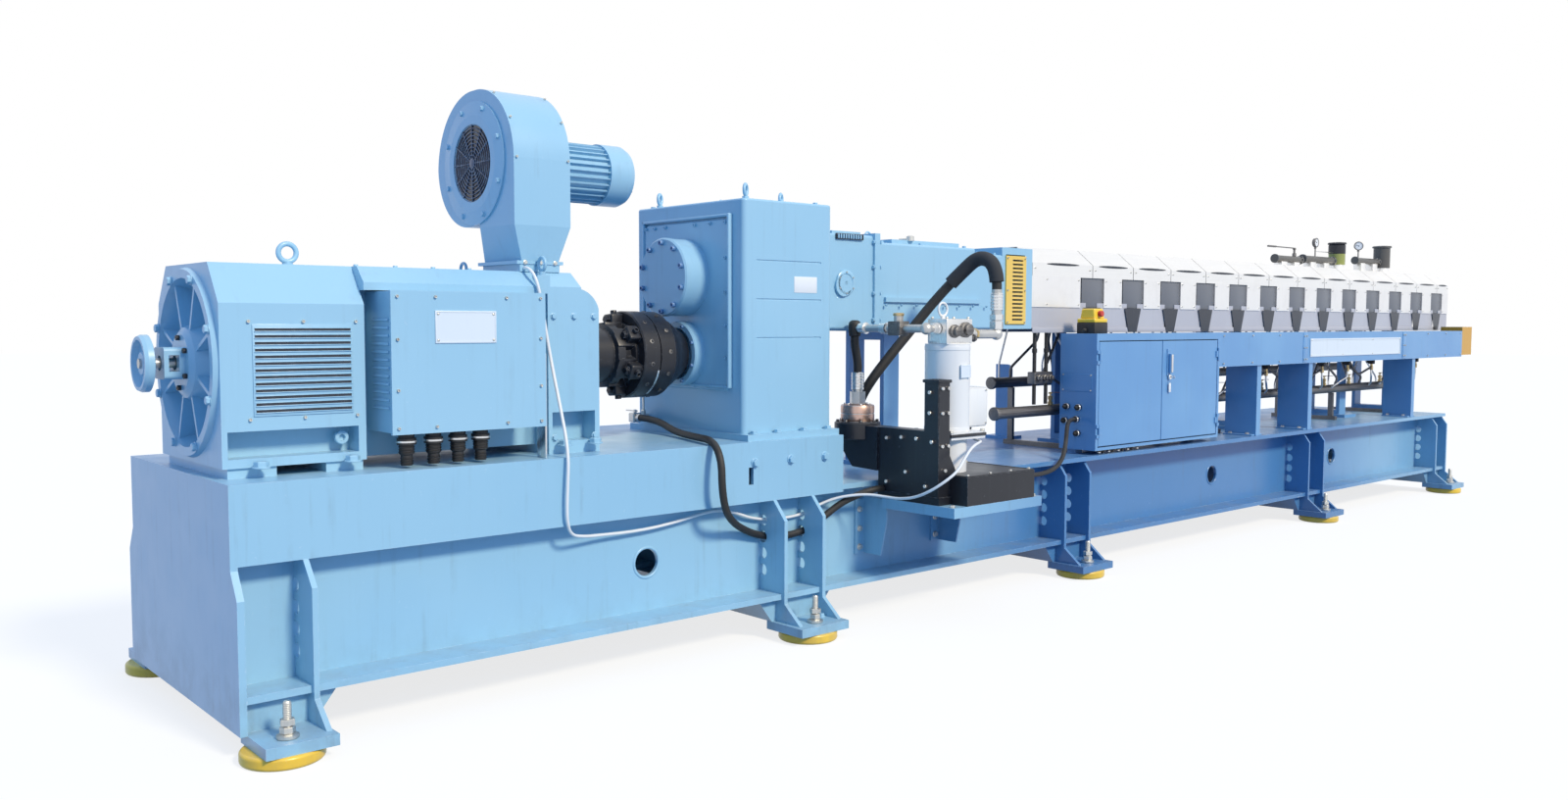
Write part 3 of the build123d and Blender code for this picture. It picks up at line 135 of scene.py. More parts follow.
def new_group(name, inputs, outputs):
    """A shader node group; each input is a colour or a number, as its default is."""
    net = Net(bpy.data.node_groups.new(name, "ShaderNodeTree"))
    for label, default in inputs.items():
        kind = COLOUR if isinstance(default, tuple) else NUMBER
        net.tree.interface.new_socket(name=label, in_out="INPUT", socket_type=kind).default_value = default
    for label, kind in outputs.items():
        net.tree.interface.new_socket(name=label, in_out="OUTPUT", socket_type=kind)
    return net, net.tree.nodes.new("NodeGroupInput").outputs, net.tree.nodes.new("NodeGroupOutput").inputs


def edge_mask_group():
    """White along the sharp edges of the mesh."""
    net, given, out = new_group("edge_mask", {"Radius": 0.004}, {"Mask": NUMBER})
    bevel = net.add("Bevel", {"Radius": given["Radius"]}, samples=4)
    dot = net.add("VectorMath", {0: bevel.outputs["Normal"], 1: net.normal()}, operation="DOT_PRODUCT")
    net.feed(net.ramp(net.calc("SUBTRACT", 1.0, dot.outputs["Value"]), 0.01, 0.2), out["Mask"])
    return net.tree


def painted_group():
    """Sprayed enamel: uneven tone, dust on top, grime near the floor, chips on the edges.

    By its share a painted shade colour takes over from the middle of the machine on, less at its far end.
    """
    net, given, out = new_group("sprayed_enamel", {
        "Paint": (0.2, 0.4, 0.7, 1), "Faded": (0.3, 0.5, 0.75, 1), "Bare": (0.5, 0.52, 0.55, 1),
        "Grime": (0.12, 0.13, 0.14, 1), "Wear": 0.4, "Dirt": 0.3,
        "Deep": (0.1, 0.3, 0.5, 1), "Deep Share": 0.0,
    }, SURFACE)
    coords = net.coords()
    broad = net.noise(coords, 1.1, 3)
    patch = net.noise(coords, 6.5, 6, 0.62)
    fine = net.noise(coords, 48, 5, 0.6)
    peel = net.noise(coords, 330, 2)
    streak = net.noise(net.coords((26, 26, 1.4)), 1.0, 4)
    edges = net.add("Group", node_tree=edge_mask_group())
    edges.inputs["Radius"].default_value = 0.005
    colour = net.blend(net.times(net.ramp(broad, 0.32, 0.68), 0.55), given["Paint"], given["Faded"])
    # Painted shade: darker from the middle of the machine on, and less so again at its far end.
    along = net.part(coords, "X")
    far_shade_fade = net.calc("SUBTRACT", 1.0, net.times(net.ramp(along, 2.4, 4.2), 0.7))
    painted_shade_share = net.times(net.ramp(along, -2.7, -0.9), far_shade_fade, given["Deep Share"])
    colour = net.blend(painted_shade_share, colour, given["Deep"])
    top = net.ramp(net.part(net.normal(), "Z"), 0.5, 0.95)
    dust = net.times(top, net.ramp(patch, 0.3, 0.75), given["Dirt"])
    colour = net.blend(net.times(dust, 0.35), colour, (0.62, 0.64, 0.66, 1))
    low = net.times(net.ramp(net.part(coords, "Z"), 0.42, 0.02), 0.5)
    run = net.times(net.ramp(streak, 0.52, 0.72), 0.35)
    soil = net.times(net.plus(low, run), given["Dirt"], net.ramp(patch, 0.35, 0.7))
    colour = net.blend(soil, colour, given["Grime"])
    scuff = net.plus(edges.outputs["Mask"], net.times(net.ramp(fine, 0.66, 0.74), 0.4))
    chips = net.calc("MULTIPLY", net.times(scuff, net.ramp(fine, 0.46, 0.6)), given["Wear"], clamp=True)
    net.feed(net.blend(chips, colour, given["Bare"]), out["Color"])
    net.feed(net.plus(net.times(patch, 0.22), 0.24, net.times(dust, 0.4)), out["Roughness"])
    net.feed(net.plus(net.times(peel, 0.5), net.times(chips, -0.6)), out["Height"])
    return net.tree


def brushed_group():
    """Ground or brushed metal: long fine scratches, smudges and a darker soil."""
    net, given, out = new_group("brushed_metal", {
        "Metal": (0.7, 0.7, 0.7, 1), "Stain": (0.3, 0.3, 0.3, 1), "Along X": 1.0, "Soil": 0.3, "Gloss": 0.3,
    }, SURFACE)
    lengthwise = net.noise(net.coords((3, 260, 260)), 1.0, 3)
    upright = net.noise(net.coords((260, 260, 3)), 1.0, 3)
    lay = {"Factor": given["Along X"], "A": upright, "B": lengthwise}
    scratch = net.add("Mix", lay, data_type="FLOAT").outputs["Result"]
    coords = net.coords()
    smudge = net.noise(coords, 4.5, 6, 0.6)
    spot = net.noise(coords, 38, 4)
    soil = net.times(net.ramp(smudge, 0.42, 0.72), given["Soil"])
    colour = net.blend(soil, given["Metal"], given["Stain"])
    shine = net.times(net.ramp(scratch, 0.3, 0.7), 0.16)
    net.feed(net.blend(shine, colour, (0.95, 0.96, 0.97, 1)), out["Color"])
    uneven = net.times(net.calc("SUBTRACT", scratch, 0.5), 0.2)
    net.feed(net.plus(given["Gloss"], net.times(smudge, 0.22), uneven), out["Roughness"])
    net.feed(net.plus(scratch, net.times(spot, 0.3)), out["Height"])
    return net.tree


def moulded_group():
    """Moulded plastic or rubber: fine grain, dull scuffs and a little dust."""
    net, given, out = new_group("moulded_grain", {
        "Body": (0.03, 0.03, 0.03, 1), "Scuff": (0.2, 0.2, 0.2, 1), "Grain": 400.0, "Dust": 0.3, "Dull": 0.5,
    }, SURFACE)
    coords = net.coords()
    grain = net.noise(coords, given["Grain"], 2, 0.5)
    patch = net.noise(coords, 9, 5, 0.6)
    speck = net.noise(coords, 75, 4, 0.6)
    up = net.times(net.ramp(net.part(net.normal(), "Z"), 0.1, 0.9), 0.7)
    film = net.times(net.plus(up, 0.15), given["Dust"], net.ramp(patch, 0.3, 0.7))
    marks = net.plus(film, net.times(net.ramp(speck, 0.62, 0.75), 0.18))
    net.feed(net.blend(marks, given["Body"], given["Scuff"]), out["Color"])
    net.feed(net.plus(given["Dull"], net.times(patch, 0.2)), out["Roughness"])
    net.feed(grain, out["Height"])
    return net.tree


def finish_with(name, group, values, bump, shader):
    """A material made of one shared group and one Principled shader."""
    material = bpy.data.materials.new(name)
    material.use_nodes = True
    net = Net(material.node_tree)
    film = net.add("Group", node_tree=group)
    for label, value in values.items():
        film.inputs[label].default_value = (*value, 1) if isinstance(value, tuple) else value
    relief = net.add("Bump", {"Strength": bump, "Distance": 0.001, "Height": film.outputs["Height"]})
    surface = {"Base Color": film.outputs["Color"], "Roughness": film.outputs["Roughness"],
               "Normal": relief.outputs["Normal"], **shader}
    body = net.add("BsdfPrincipled", surface)
    net.add("OutputMaterial", {"Surface": body.outputs["BSDF"]})
    return material


# Finishes, each with its material's name first

CHIPPED_BLUE = (0.62, 0.74, 0.84)
# Colour of the painted shade that darkens the base along the machine.
PAINTED_SHADE_BLUE = (0.06, 0.20, 0.43)

# Material, colour, faded colour, wear, dirt, coat, bare colour under a chip, share of the painted shade blue
PAINTS = {
    "blue": ("sky_blue_enamel", (0.30, 0.53, 0.68), (0.35, 0.58, 0.72)),
    "base_blue": ("base_blue_enamel", (0.28, 0.51, 0.67), (0.33, 0.56, 0.70), 0.5, 0.5, 0.25,
                  CHIPPED_BLUE, 0.95),
    # Darker copy of the blue for the bridge, cabinet and their supports: painted shade, as the light falls
    # off along the machine.
    "bridge_shaded_blue": ("bridge_shaded_blue_enamel", (0.13, 0.31, 0.56), (0.20, 0.42, 0.65)),
    # Darker copy of the blue for screws on the gearbox's shaded side: painted shade.
    "shaded_blue_screws": ("shaded_screw_blue", (0.10, 0.22, 0.42), (0.14, 0.28, 0.5), 0.5, 0.5),
    "yellow": ("pad_yellow_enamel", (0.90, 0.55, 0.03), (0.95, 0.64, 0.08), 0.5, 0.5),
    "grille_yellow": ("grille_yellow_enamel", (0.85, 0.55, 0.10), (0.90, 0.62, 0.16), 0.3, 0.3),
    "black": ("black_enamel", (0.010, 0.011, 0.016), (0.020, 0.022, 0.030), 0.5, 0.15, 0.05,
              (0.30, 0.31, 0.33)),
    "guard_wire": ("guard_wire", (0.03, 0.06, 0.12), (0.06, 0.10, 0.18), 0.4),
    # Near-black for openings, slots, grip recesses and joint gaps: painted shade.
    "painted_shade_black": ("painted_shade_black", (0.010, 0.014, 0.026), (0.02, 0.026, 0.04), 0.2, 0.2),
    "white": ("white_enamel", (0.78, 0.79, 0.80), (0.84, 0.84, 0.83), 0.2),
    "pale_plate": ("pale_plate_enamel", (0.70, 0.76, 0.80), (0.76, 0.80, 0.83), 0.15, 0.2, 0.3),
    "pale_grey": ("pale_grey_enamel", (0.78, 0.77, 0.74), (0.84, 0.83, 0.80), 0.2, 0.25),
    "vent_grey": ("vent_grey_enamel", (0.085, 0.080, 0.072), (0.13, 0.125, 0.11), 0.4, 0.3, 0.05),
    "joint_grey": ("joint_grey", (0.13, 0.135, 0.15), (0.18, 0.185, 0.20), 0.2, 0.3, 0.1),
    "skirt_grey": ("skirt_grey", (0.44, 0.43, 0.46), (0.52, 0.51, 0.53), 0.25, 0.35, 0.1),
    "olive": ("olive_enamel", (0.26, 0.28, 0.05), (0.32, 0.34, 0.10), 0.4, 0.35),
    "red_brown": ("red_brown_enamel", (0.20, 0.05, 0.03), (0.26, 0.09, 0.06), 0.5, 0.4),
}
# Material, colour, stain, share of scratches along X, soil, gloss
METALS = {
    "stainless": ("brushed_stainless", (0.90, 0.90, 0.90), (0.66, 0.66, 0.68), 1.0, 0.25, 0.32),
    "stainless_upright": ("brushed_stainless_upright", (0.88, 0.88, 0.89), (0.60, 0.60, 0.63),
                          0.0, 0.3, 0.34),
    "steel": ("machined_steel", (0.55, 0.56, 0.57), (0.2, 0.19, 0.17), 1.0, 0.45, 0.25),
    "zinc": ("zinc_plated", (0.62, 0.63, 0.62), (0.30, 0.29, 0.26), 0.0, 0.35, 0.3),
    "bright_steel": ("bright_steel", (0.80, 0.80, 0.80), (0.5, 0.5, 0.5), 0.0, 0.2, 0.18),
    "dark_steel": ("oiled_dark_steel", (0.13, 0.13, 0.14), (0.04, 0.04, 0.04), 1.0, 0.5, 0.4),
    "copper": ("copper_flange", (0.62, 0.40, 0.32), (0.3, 0.2, 0.17), 0.0, 0.4, 0.25),
    "brass": ("plain_brass", (0.62, 0.47, 0.22), (0.25, 0.17, 0.08), 0.0, 0.4, 0.28),
}
# Material, colour, scuffed colour, fineness of the grain, dust, dullness
PLASTICS = {
    "rubber": ("black_hose_rubber", (0.012, 0.012, 0.013), (0.13, 0.13, 0.13), 500, 0.35, 0.5),
    "glossy_rubber": ("glossy_rubber", (0.012, 0.011, 0.011), (0.10, 0.09, 0.08), 700, 0.2, 0.18),
    "foam": ("foam_sleeve", (0.028, 0.030, 0.034), (0.09, 0.09, 0.095), 160, 0.4, 0.75),
    "black_plastic": ("black_plastic", (0.015, 0.015, 0.017), (0.16, 0.16, 0.16), 600, 0.3, 0.4),
    "white_plastic": ("white_plastic", (0.80, 0.80, 0.79), (0.6, 0.6, 0.6), 500, 0.25, 0.35),
    "yellow_plastic": ("yellow_plastic", (0.88, 0.58, 0.04), (0.92, 0.72, 0.3), 500, 0.2, 0.3),
    "red_plastic": ("red_plastic", (0.62, 0.05, 0.03), (0.7, 0.3, 0.25), 500, 0.15, 0.3),
    "amber": ("amber_sheet", (0.64, 0.33, 0.035), (0.74, 0.46, 0.14), 300, 0.25, 0.25),
}
NODE_FINISHES = {
    "base_blue": "base_rails base_stiffeners base_drive_box base_deck base_feet oil_shelf",
    "blue": "motor_frame motor_end_shield terminal_box lifting_rings hand_disc blower_scroll blower_motor "
            "gearbox_housing gearbox_covers distribution_housing lantern_frame",
    "bridge_shaded_blue": "barrel_supports bridge_cover cabinet_box cabinet_door_left cabinet_door_right",
    "yellow": "levelling_pads",
    "grille_yellow": "lantern_grille",
    "amber": "end_guard",
    "black": "oil_pump_block",
    "pale_grey": "oil_motor",
    "skirt_grey": "barrel_side_plates",
    "stainless": "barrel_hoods",
    "stainless_upright": "barrel_panels",
    "steel": "motor_shaft oil_fittings",
    "dark_steel": "barrel_core water_manifold",
    "black_plastic": "cable_glands",
}


def make_finishes():
    """Every finish, as a material under its short label."""
    enamel, brushed, moulded = painted_group(), brushed_group(), moulded_group()

    def paint(name, colour, faded, wear=0.35, dirt=0.3, coat=0.25, bare=CHIPPED_BLUE, painted_shade_share=0.0):
        values = {"Paint": colour, "Faded": faded, "Wear": wear, "Dirt": dirt, "Bare": bare,
                  "Deep": PAINTED_SHADE_BLUE, "Deep Share": painted_shade_share}
        return finish_with(name, enamel, values, 0.12, {"Coat Weight": coat, "Coat Roughness": 0.22})

    def metal(name, colour, stain, along, soil, gloss):
        values = {"Metal": colour, "Stain": stain, "Along X": along, "Soil": soil, "Gloss": gloss}
        return finish_with(name, brushed, values, 0.1, {"Metallic": 1.0})

    def plastic(name, colour, scuff, grain, dust, dull):
        values = {"Body": colour, "Scuff": scuff, "Grain": grain, "Dust": dust, "Dull": dull}
        return finish_with(name, moulded, values, 0.2, {})

    kinds = ((paint, PAINTS), (metal, METALS), (plastic, PLASTICS))
    return {label: make(*values) for make, rows in kinds for label, values in rows.items()}


def dress_nodes():
    """Gives the carried-over CAD nodes their finishes."""
    for label, nodes in NODE_FINISHES.items():
        for node in nodes.split():
            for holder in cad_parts[node].material_slots:
                holder.material = finish[label]


finish = make_finishes()
dress_nodes()


# Camera, light and floor


def set_camera():
    """Plain camera fitted to the photograph's view."""
    lens = bpy.data.cameras.new("camera")
    lens.sensor_width = 36
    lens.lens = 28.2
    lens.clip_end = 200
    camera = bpy.data.objects.new("camera", lens)
    camera.location = at(-1342, -4947, 1496)
    camera.rotation_euler = Euler([math.radians(turn) for turn in (86.392, -0.133, -41.685)])
    bpy.context.scene.collection.objects.link(camera)
    bpy.context.scene.camera = camera


def set_world():
    """Soft blue sky light that looks white to the camera and nearly white in gloss."""
    bpy.context.scene.view_settings.view_transform = "Standard"
    world = bpy.data.worlds.new("studio")
    bpy.context.scene.world = world
    world.use_nodes = True
    net = Net(world.node_tree)
    ray = net.add("LightPath").outputs
    seen = net.calc("MAXIMUM", ray["Is Camera Ray"], ray["Is Transmission Ray"])
    gloss = {0: ray["Is Glossy Ray"], 1: 0.88, 2: seen}
    share = net.add("Math", gloss, operation="MULTIPLY_ADD", use_clamp=True)
    soft = net.add("Background", {"Color": (0.30, 0.55, 1.0, 1), "Strength": 0.92})
    white = net.add("Background", {"Color": (1, 1, 1, 1), "Strength": 1.0})
    mix = net.add("MixShader", {"Fac": share.outputs[0], 1: soft.outputs[0], 2: white.outputs[0]})
    net.add("OutputWorld", {"Surface": mix.outputs[0]})


def set_key_light():
    """Warm broad key light from the operator's side."""
    key = bpy.data.lights.new("key", "SUN")
    key.energy = 3.05
    key.color = (1.0, 0.88, 0.68)
    key.angle = math.radians(10)
    lamp = bpy.data.objects.new("key", key)
    lamp.rotation_euler = Vector((0.14, -1.1, 0.85)).to_track_quat("Z", "Y").to_euler()
    bpy.context.scene.collection.objects.link(lamp)


def make_floor():
    """White floor that keeps a soft shadow under the machine."""
    bpy.ops.object.select_all(action="DESELECT")
    bpy.ops.mesh.primitive_plane_add(size=120)
    floor = bpy.context.object
    floor.name = "floor"
    material = bpy.data.materials.new("white_floor")
    material.use_nodes = True
    net = Net(material.node_tree)
    ray = net.add("LightPath").outputs
    tone = net.blend(ray["Is Camera Ray"], (0.21, 0.32, 0.43, 1), (0.95, 0.94, 0.90, 1))
    matt = net.add("BsdfDiffuse", {"Color": tone})
    glow = net.add("Emission", {"Color": (1, 1, 1, 1), "Strength": 1.04})
    seen = net.calc("MAXIMUM", ray["Is Camera Ray"], ray["Is Glossy Ray"])
    share = net.times(net.calc("MAXIMUM", seen, ray["Is Transmission Ray"]), 0.76)
    mix = net.add("MixShader", {"Fac": share, 1: matt.outputs[0], 2: glow.outputs[0]})
    net.add("OutputMaterial", {"Surface": mix.outputs[0]})
    floor.data.materials.append(material)


set_camera()
set_world()
set_key_light()


# Modelling helpers; sizes in millimetres


def pick(piece):
    """Makes a piece the only one selected."""
    bpy.ops.object.select_all(action="DESELECT")
    piece.select_set(True)
    bpy.context.view_layer.objects.active = piece


def begin(kind, **settings):
    """Adds a primitive with nothing else selected, and opens it for editing."""
    bpy.ops.object.select_all(action="DESELECT")
    getattr(bpy.ops.mesh, "primitive_" + kind + "_add")(**settings)
    bpy.ops.object.mode_set(mode="EDIT")
    bpy.ops.mesh.select_all(action="SELECT")
    return bpy.context.object


def close_up(piece, angle=35):
    """Leaves edit mode with outward faces and smooth shading under the angle."""
    bpy.ops.mesh.select_all(action="SELECT")
    bpy.ops.mesh.remove_doubles(threshold=0.00002)
    bpy.ops.mesh.normals_make_consistent(inside=False)
    bpy.ops.object.mode_set(mode="OBJECT")
    bpy.ops.object.transform_apply(location=True, rotation=True, scale=True)
    bpy.ops.object.shade_smooth_by_angle(angle=math.radians(angle))
    return piece


def extrude(direction, length):
    move = {"value": tuple(Vector(direction) * length / 1000)}
    bpy.ops.mesh.extrude_region_move(TRANSFORM_OT_translate=move)


def turned(profile, segments=24, angle=35):
    """Round part grown ring by ring along +Z from its first (radius, height)."""
    r, z = profile[0]
    piece = begin("circle", vertices=segments, radius=r / 1000, fill_type="NGON", location=(0, 0, z / 1000))
    for new_r, new_z in profile[1:]:
        extrude(UP, new_z - z)
        bpy.ops.transform.resize(value=(new_r / r, new_r / r, 1))
        r, z = new_r, new_z
    return close_up(piece, angle)


def hexagon(*profile):
    """Six-sided turned part."""
    return turned(profile, 6, 20)


def slab(x, y, z, edge=2.0, steps=2, origin=Vector()):
    """Box between two values on each axis, with its edges rounded."""
    low, high = (Vector(corner) / 1000 + origin for corner in zip(x, y, z))
    piece = begin("cube", size=1, location=(low + high) / 2, scale=tuple(high - low))
    bpy.ops.object.mode_set(mode="OBJECT")
    bpy.ops.object.transform_apply(location=True, rotation=True, scale=True)
    bpy.ops.object.mode_set(mode="EDIT")
    bpy.ops.mesh.select_all(action="SELECT")
    if edge:
        bpy.ops.mesh.bevel(offset=edge / 1000, segments=steps, affect="EDGES")
    return close_up(piece)


def block(x, y, z, edge=2.0, steps=2):
    """Box at its place on the drawing."""
    return slab(x, y, z, edge, steps, ORIGIN)


def side_block(side, x, depths, z, edge):
    """Box on one side of the line, between two distances from it."""
    return block(x, sorted(LINE_Y + side * depth for depth in depths), z, edge)


def select_facing(piece, direction):
    """Opens a piece for editing with the faces selected that look along the direction."""
    pick(piece)
    bpy.ops.object.mode_set(mode="EDIT")
    bpy.ops.mesh.select_all(action="DESELECT")
    bpy.ops.object.mode_set(mode="OBJECT")
    for face in piece.data.polygons:
        face.select = face.normal.dot(Vector(direction)) > 0.99
    bpy.ops.object.mode_set(mode="EDIT")
    bpy.ops.mesh.select_mode(type="FACE")


def panel(x, y, z, edge, direction, rim, depth):
    """Box with one face inset by a rim and moved by a depth (inward when negative)."""
    piece = block(x, y, z, edge)
    select_facing(piece, direction)
    bpy.ops.mesh.inset(thickness=rim / 1000, depth=0)
    extrude(direction, depth)
    return close_up(piece)


def tapered(piece, direction, scale, edge=0):
    """Scales the end that looks along the direction, and rounds the edges."""
    select_facing(piece, direction)
    bpy.ops.transform.resize(value=scale)
    bpy.ops.mesh.select_all(action="SELECT")
    if edge:
        bpy.ops.mesh.bevel(offset=edge / 1000, segments=4, affect="EDGES")
    return close_up(piece)


def ring(radius, bar, sides, bar_sides, **settings):
    """Round bar bent to a ring, about +Z unless the settings turn it."""
    bpy.ops.object.select_all(action="DESELECT")
    bpy.ops.mesh.primitive_torus_add(major_radius=radius / 1000, minor_radius=bar / 1000,
                                     major_segments=sides, minor_segments=bar_sides, **settings)
    return bpy.context.object


def collar(inner, outer, height, sides=40):
    """Flat collar with rounded rims, open in the middle."""
    half = (outer - inner) / 2
    piece = ring((inner + outer) / 2, half, sides, 8)
    bpy.ops.object.mode_set(mode="EDIT")
    bpy.ops.mesh.select_all(action="SELECT")
    bpy.ops.transform.resize(value=(1, 1, height / half))
    return close_up(piece, 60)


def turn(angle, axis="Z"):
    return Matrix.Rotation(angle, 4, axis)


def shift(x, y, z):
    return Matrix.Translation(Vector((x, y, z)) / 1000)


def facing(place, direction, spin=0.0, lift=0.0):
    """Matrix that takes a part standing at the origin to a place, its +Z along the direction."""
    aim = Vector(direction).to_track_quat("Z", "Y").to_matrix().to_4x4()
    return Matrix.Translation(at(*place)) @ aim @ turn(spin) @ shift(0, 0, lift)


def spots(direction, *places, spin=0.0, lift=0.0):
    """Places that face the direction; a coordinate may list several values, and each mix is a place."""
    found = []
    for place in places:
        axes = [axis if isinstance(axis, (tuple, list, range)) else (axis,) for axis in place]
        found += [facing(mix, direction, spin, lift) for mix in itertools.product(*axes)]
    return found


def circle(centre, direction, radius, count, first=0.0):
    """Places evenly round a circle that faces the direction, the first at an angle in degrees."""
    aim = Vector(direction).to_track_quat("Z", "Y")
    angles = [math.radians(first) + math.tau * k / count for k in range(count)]
    offsets = [aim @ Vector((math.cos(angle), math.sin(angle), 0)) * radius for angle in angles]
    return [facing(Vector(centre) + offset, direction) for offset in offsets]


def drum_places(x, centre, radius, count, first):
    """Places round a drum's rim, facing outwards from its line."""
    angles = [math.tau * k / count + first for k in range(count)]
    outward = [(0, math.cos(angle), math.sin(angle)) for angle in angles]
    return [facing((x, centre[0] + radius * y, centre[1] + radius * z), (0, y, z)) for _, y, z in outward]


def joined(pieces):
    """One piece from several."""
    bpy.ops.object.select_all(action="DESELECT")
    for piece in pieces:
        piece.select_set(True)
    bpy.context.view_layer.objects.active = pieces[0]
    if len(pieces) > 1:
        bpy.ops.object.join()
    return pieces[0]


def placed(piece, matrix):
    piece.data.transform(matrix)
    return piece


def copies(model, matrices):
    """Copies of one model at each place, each with its own mesh, joined into one piece."""
    twins = []
    for matrix in matrices:
        twin = model.copy()
        twin.data = model.data.copy()
        bpy.context.scene.collection.objects.link(twin)
        twins.append(placed(twin, matrix))
    bpy.data.objects.remove(model)
    return joined(twins)


def fit(name, label, piece, places=(), body="machine", node=None):
    """Names and finishes a piece, or its copies at the places, and lets it ride on its body."""
    if places:
        piece = copies(piece, places)
    piece.name = name
    piece.data.name = name
    piece.data.materials.clear()
    piece.data.materials.append(finish[label])
    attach(piece, body)
    if node:
        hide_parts(node)
    return piece


def bolt(d):
    """Hexagon head on its washer."""
    washer = turned([(1.0 * d, 0), (1.05 * d, 0.03 * d), (1.05 * d, 0.15 * d), (1.0 * d, 0.18 * d)], 18)
    return joined([washer, hexagon((0.87 * d, 0.18 * d), (0.87 * d, 0.7 * d), (0.76 * d, 0.82 * d))])


def screw(d):
    """Round socket head with its recess."""
    return turned([(0.72 * d, 0), (0.75 * d, 0.06 * d), (0.75 * d, 0.9 * d), (0.68 * d, d),
                   (0.42 * d, d), (0.38 * d, 0.96 * d), (0.36 * d, 0.5 * d)], 14)


# Hoses and cables, riding on the machine

# Radius, finish, stiffness and route
CORDS = {
    "drain_hose": (17, "rubber", "medium", (
        (2262, 195.7, 1010), (2262, 60, 1010), (2225, -150, 963), (2140, -420, 963), (2078, -635, 966),
        (2066, -705, 880), (2066, -708, 760), (2100, -688, 660), (2180, -630, 595), (2290, -566, 538),
        (2400, -542, 492), (2515, -538, 467), (2625, -537, 463), (2735, -540, 478), (2835, -552, 530),
        (2920, -580, 592), (2998, -630, 636), (3072, -670, 662), (3135.7, -670, 662),
    )),
    "pressure_hose": (26, "rubber", "stiff", (
        (3270, -359, 1000.3), (3270, -359, 1070), (3325, -398, 1190), (3430, -452, 1335), (3545, -500, 1475),
        (3640, -575, 1625), (3705, -688, 1760), (3738, -786, 1850), (3742, -900, 1795), (3742, -900, 1670.3),
    )),
    "suction_hose": (22, "rubber", "stiff", (
        (3182, -443, 1198), (3182, -443, 1240.3), (3182, -443, 1285), (3176, -438, 1335), (3170, -432, 1385),
        (3170, -432, 1429.7), (3170, -432, 1468),
    )),
    "blower_cable": (7, "white_plastic", "medium", (
        (1258, -406, 1720), (1258, -442, 1720), (1272, -474, 1680), (1290, -480, 1600), (1304, -484, 1500),
        (1316, -494, 1400), (1324, -514, 1300), (1328, -544, 1200), (1328, -578, 1105), (1326, -612, 1015),
        (1321, -634, 925), (1315, -636, 835), (1311, -636, 750), (1314, -632, 675), (1345, -610, 618),
        (1425, -578, 598), (1545, -556, 590), (1680, -546, 585), (1820, -545, 590), (1960, -545, 606),
        (2080, -545, 626), (2180, -545, 632), (2280, -543, 608), (2370, -538, 574), (2464, -536, 556),
        (2585, -536, 549), (2710, -536, 557), (2805, -541, 592), (2885, -580, 624), (2950, -640, 640),
        (3010, -700, 645), (3052, -775, 636), (3060, -860, 634), (3062, -960, 652), (3074, -1045, 690),
        (3110, -1108, 740), (3176, -1128, 785), (3250, -1108, 840), (3340, -1080, 890), (3440, -1050, 905),
        (3520, -985, 900), (3552, -905, 905), (3556, -880, 935), (3556, -880, 966.7),
    )),
    "cabinet_cable": (13, "rubber", "medium", (
        (4969.4, -531, 908), (4925, -531, 908), (4860, -560, 885), (4780, -612, 830), (4690, -668, 765),
        (4595, -716, 705), (4490, -744, 664), (4370, -762, 648), (4240, -778, 648), (4110, -794, 655),
        (3990, -810, 667), (3890, -828, 682), (3815, -840, 690), (3750.3, -840, 690),
    )),
}


def line(name, places, kind, radius=0.0, rim_steps=0):
    """A curve through or along the places, round and closed where it has a radius."""
    curve = bpy.data.curves.new(name, "CURVE")
    curve.dimensions = "3D"
    spline = curve.splines.new(kind)
    spline.points.add(len(places) - 1)
    for point, place in zip(spline.points, places):
        point.co = (*place, 1)
    spline.order_u = 3
    spline.use_endpoint_u = True
    curve.resolution_u = 16
    curve.bevel_depth = radius / 1000
    curve.bevel_resolution = rim_steps
    curve.use_fill_caps = True
    return curve


def curve_mesh(curve):
    holder = bpy.data.objects.new(curve.name, curve)
    mesh = bpy.data.meshes.new_from_object(holder)
    bpy.data.objects.remove(holder)
    return mesh


def line_places(places):
    """Close places along the smooth line through a route's places."""
    return [vertex.co.copy() for vertex in curve_mesh(line("line", places, "NURBS")).vertices]


def tube(places, radius, rim_steps, angle):
    """Round tube through the places, as a mesh."""
    piece = bpy.data.objects.new("tube", curve_mesh(line("tube", places, "POLY", radius, rim_steps)))
    bpy.context.scene.collection.objects.link(piece)
    pick(piece)
    bpy.ops.object.shade_smooth_by_angle(angle=math.radians(angle))
    return piece


def cord(name, radius, label, stiffness, route, with_pieces=()):
    """Smooth hose or cable along its route, riding on the machine."""
    places = [at(*place) for place in route]
    piece = bpy.data.objects.new(name + "_skin", line(name + "_skin", places, "NURBS", radius, 6))
    bpy.context.scene.collection.objects.link(piece)
    piece.data.materials.append(finish[label])
    length = sum((b - a).length for a, b in itertools.pairwise(line_places(places)))
    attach(piece, "machine")
    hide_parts(name)


def cords():
    """All hoses and cables, and the foam sleeve over the arch of the pressure hose."""
    sleeve_end = 1.70
    hose = [at(*place) for place in CORDS["pressure_hose"][3]]
    arch = [place for place in line_places(hose) if place.z > sleeve_end]
    foam = fit("pressure_hose_sleeve", "foam", tube(arch, 38, 8, 40))
    for name, facts in CORDS.items():
        cord(name, *facts, with_pieces=(foam,) if name == "pressure_hose" else ())


# Base


def levelling_screw():
    """Threaded rod with its collar on the pad and two nuts on the foot plate."""
    profile = [(34, 0), (38, 3), (38, 12), (30, 16), (18, 18), (18, 40)]
    for z in range(40, 122, 6):
        profile += [(15, z + 1.5), (15, z + 2.5), (13.2, z + 4.5), (13.2, z + 5.5)]
    rod = turned(profile + [(11, 128), (6, 128.5)], 16, 25)
    nuts = [placed(hexagon((23, 0), (26.5, 3), (26.5, 21), (23, 24), (16, 24)), shift(0, 0, z) @ turn(spin))
            for z, spin in ((17, 0.3), (43, 0.8))]
    return joined([rod, *nuts])


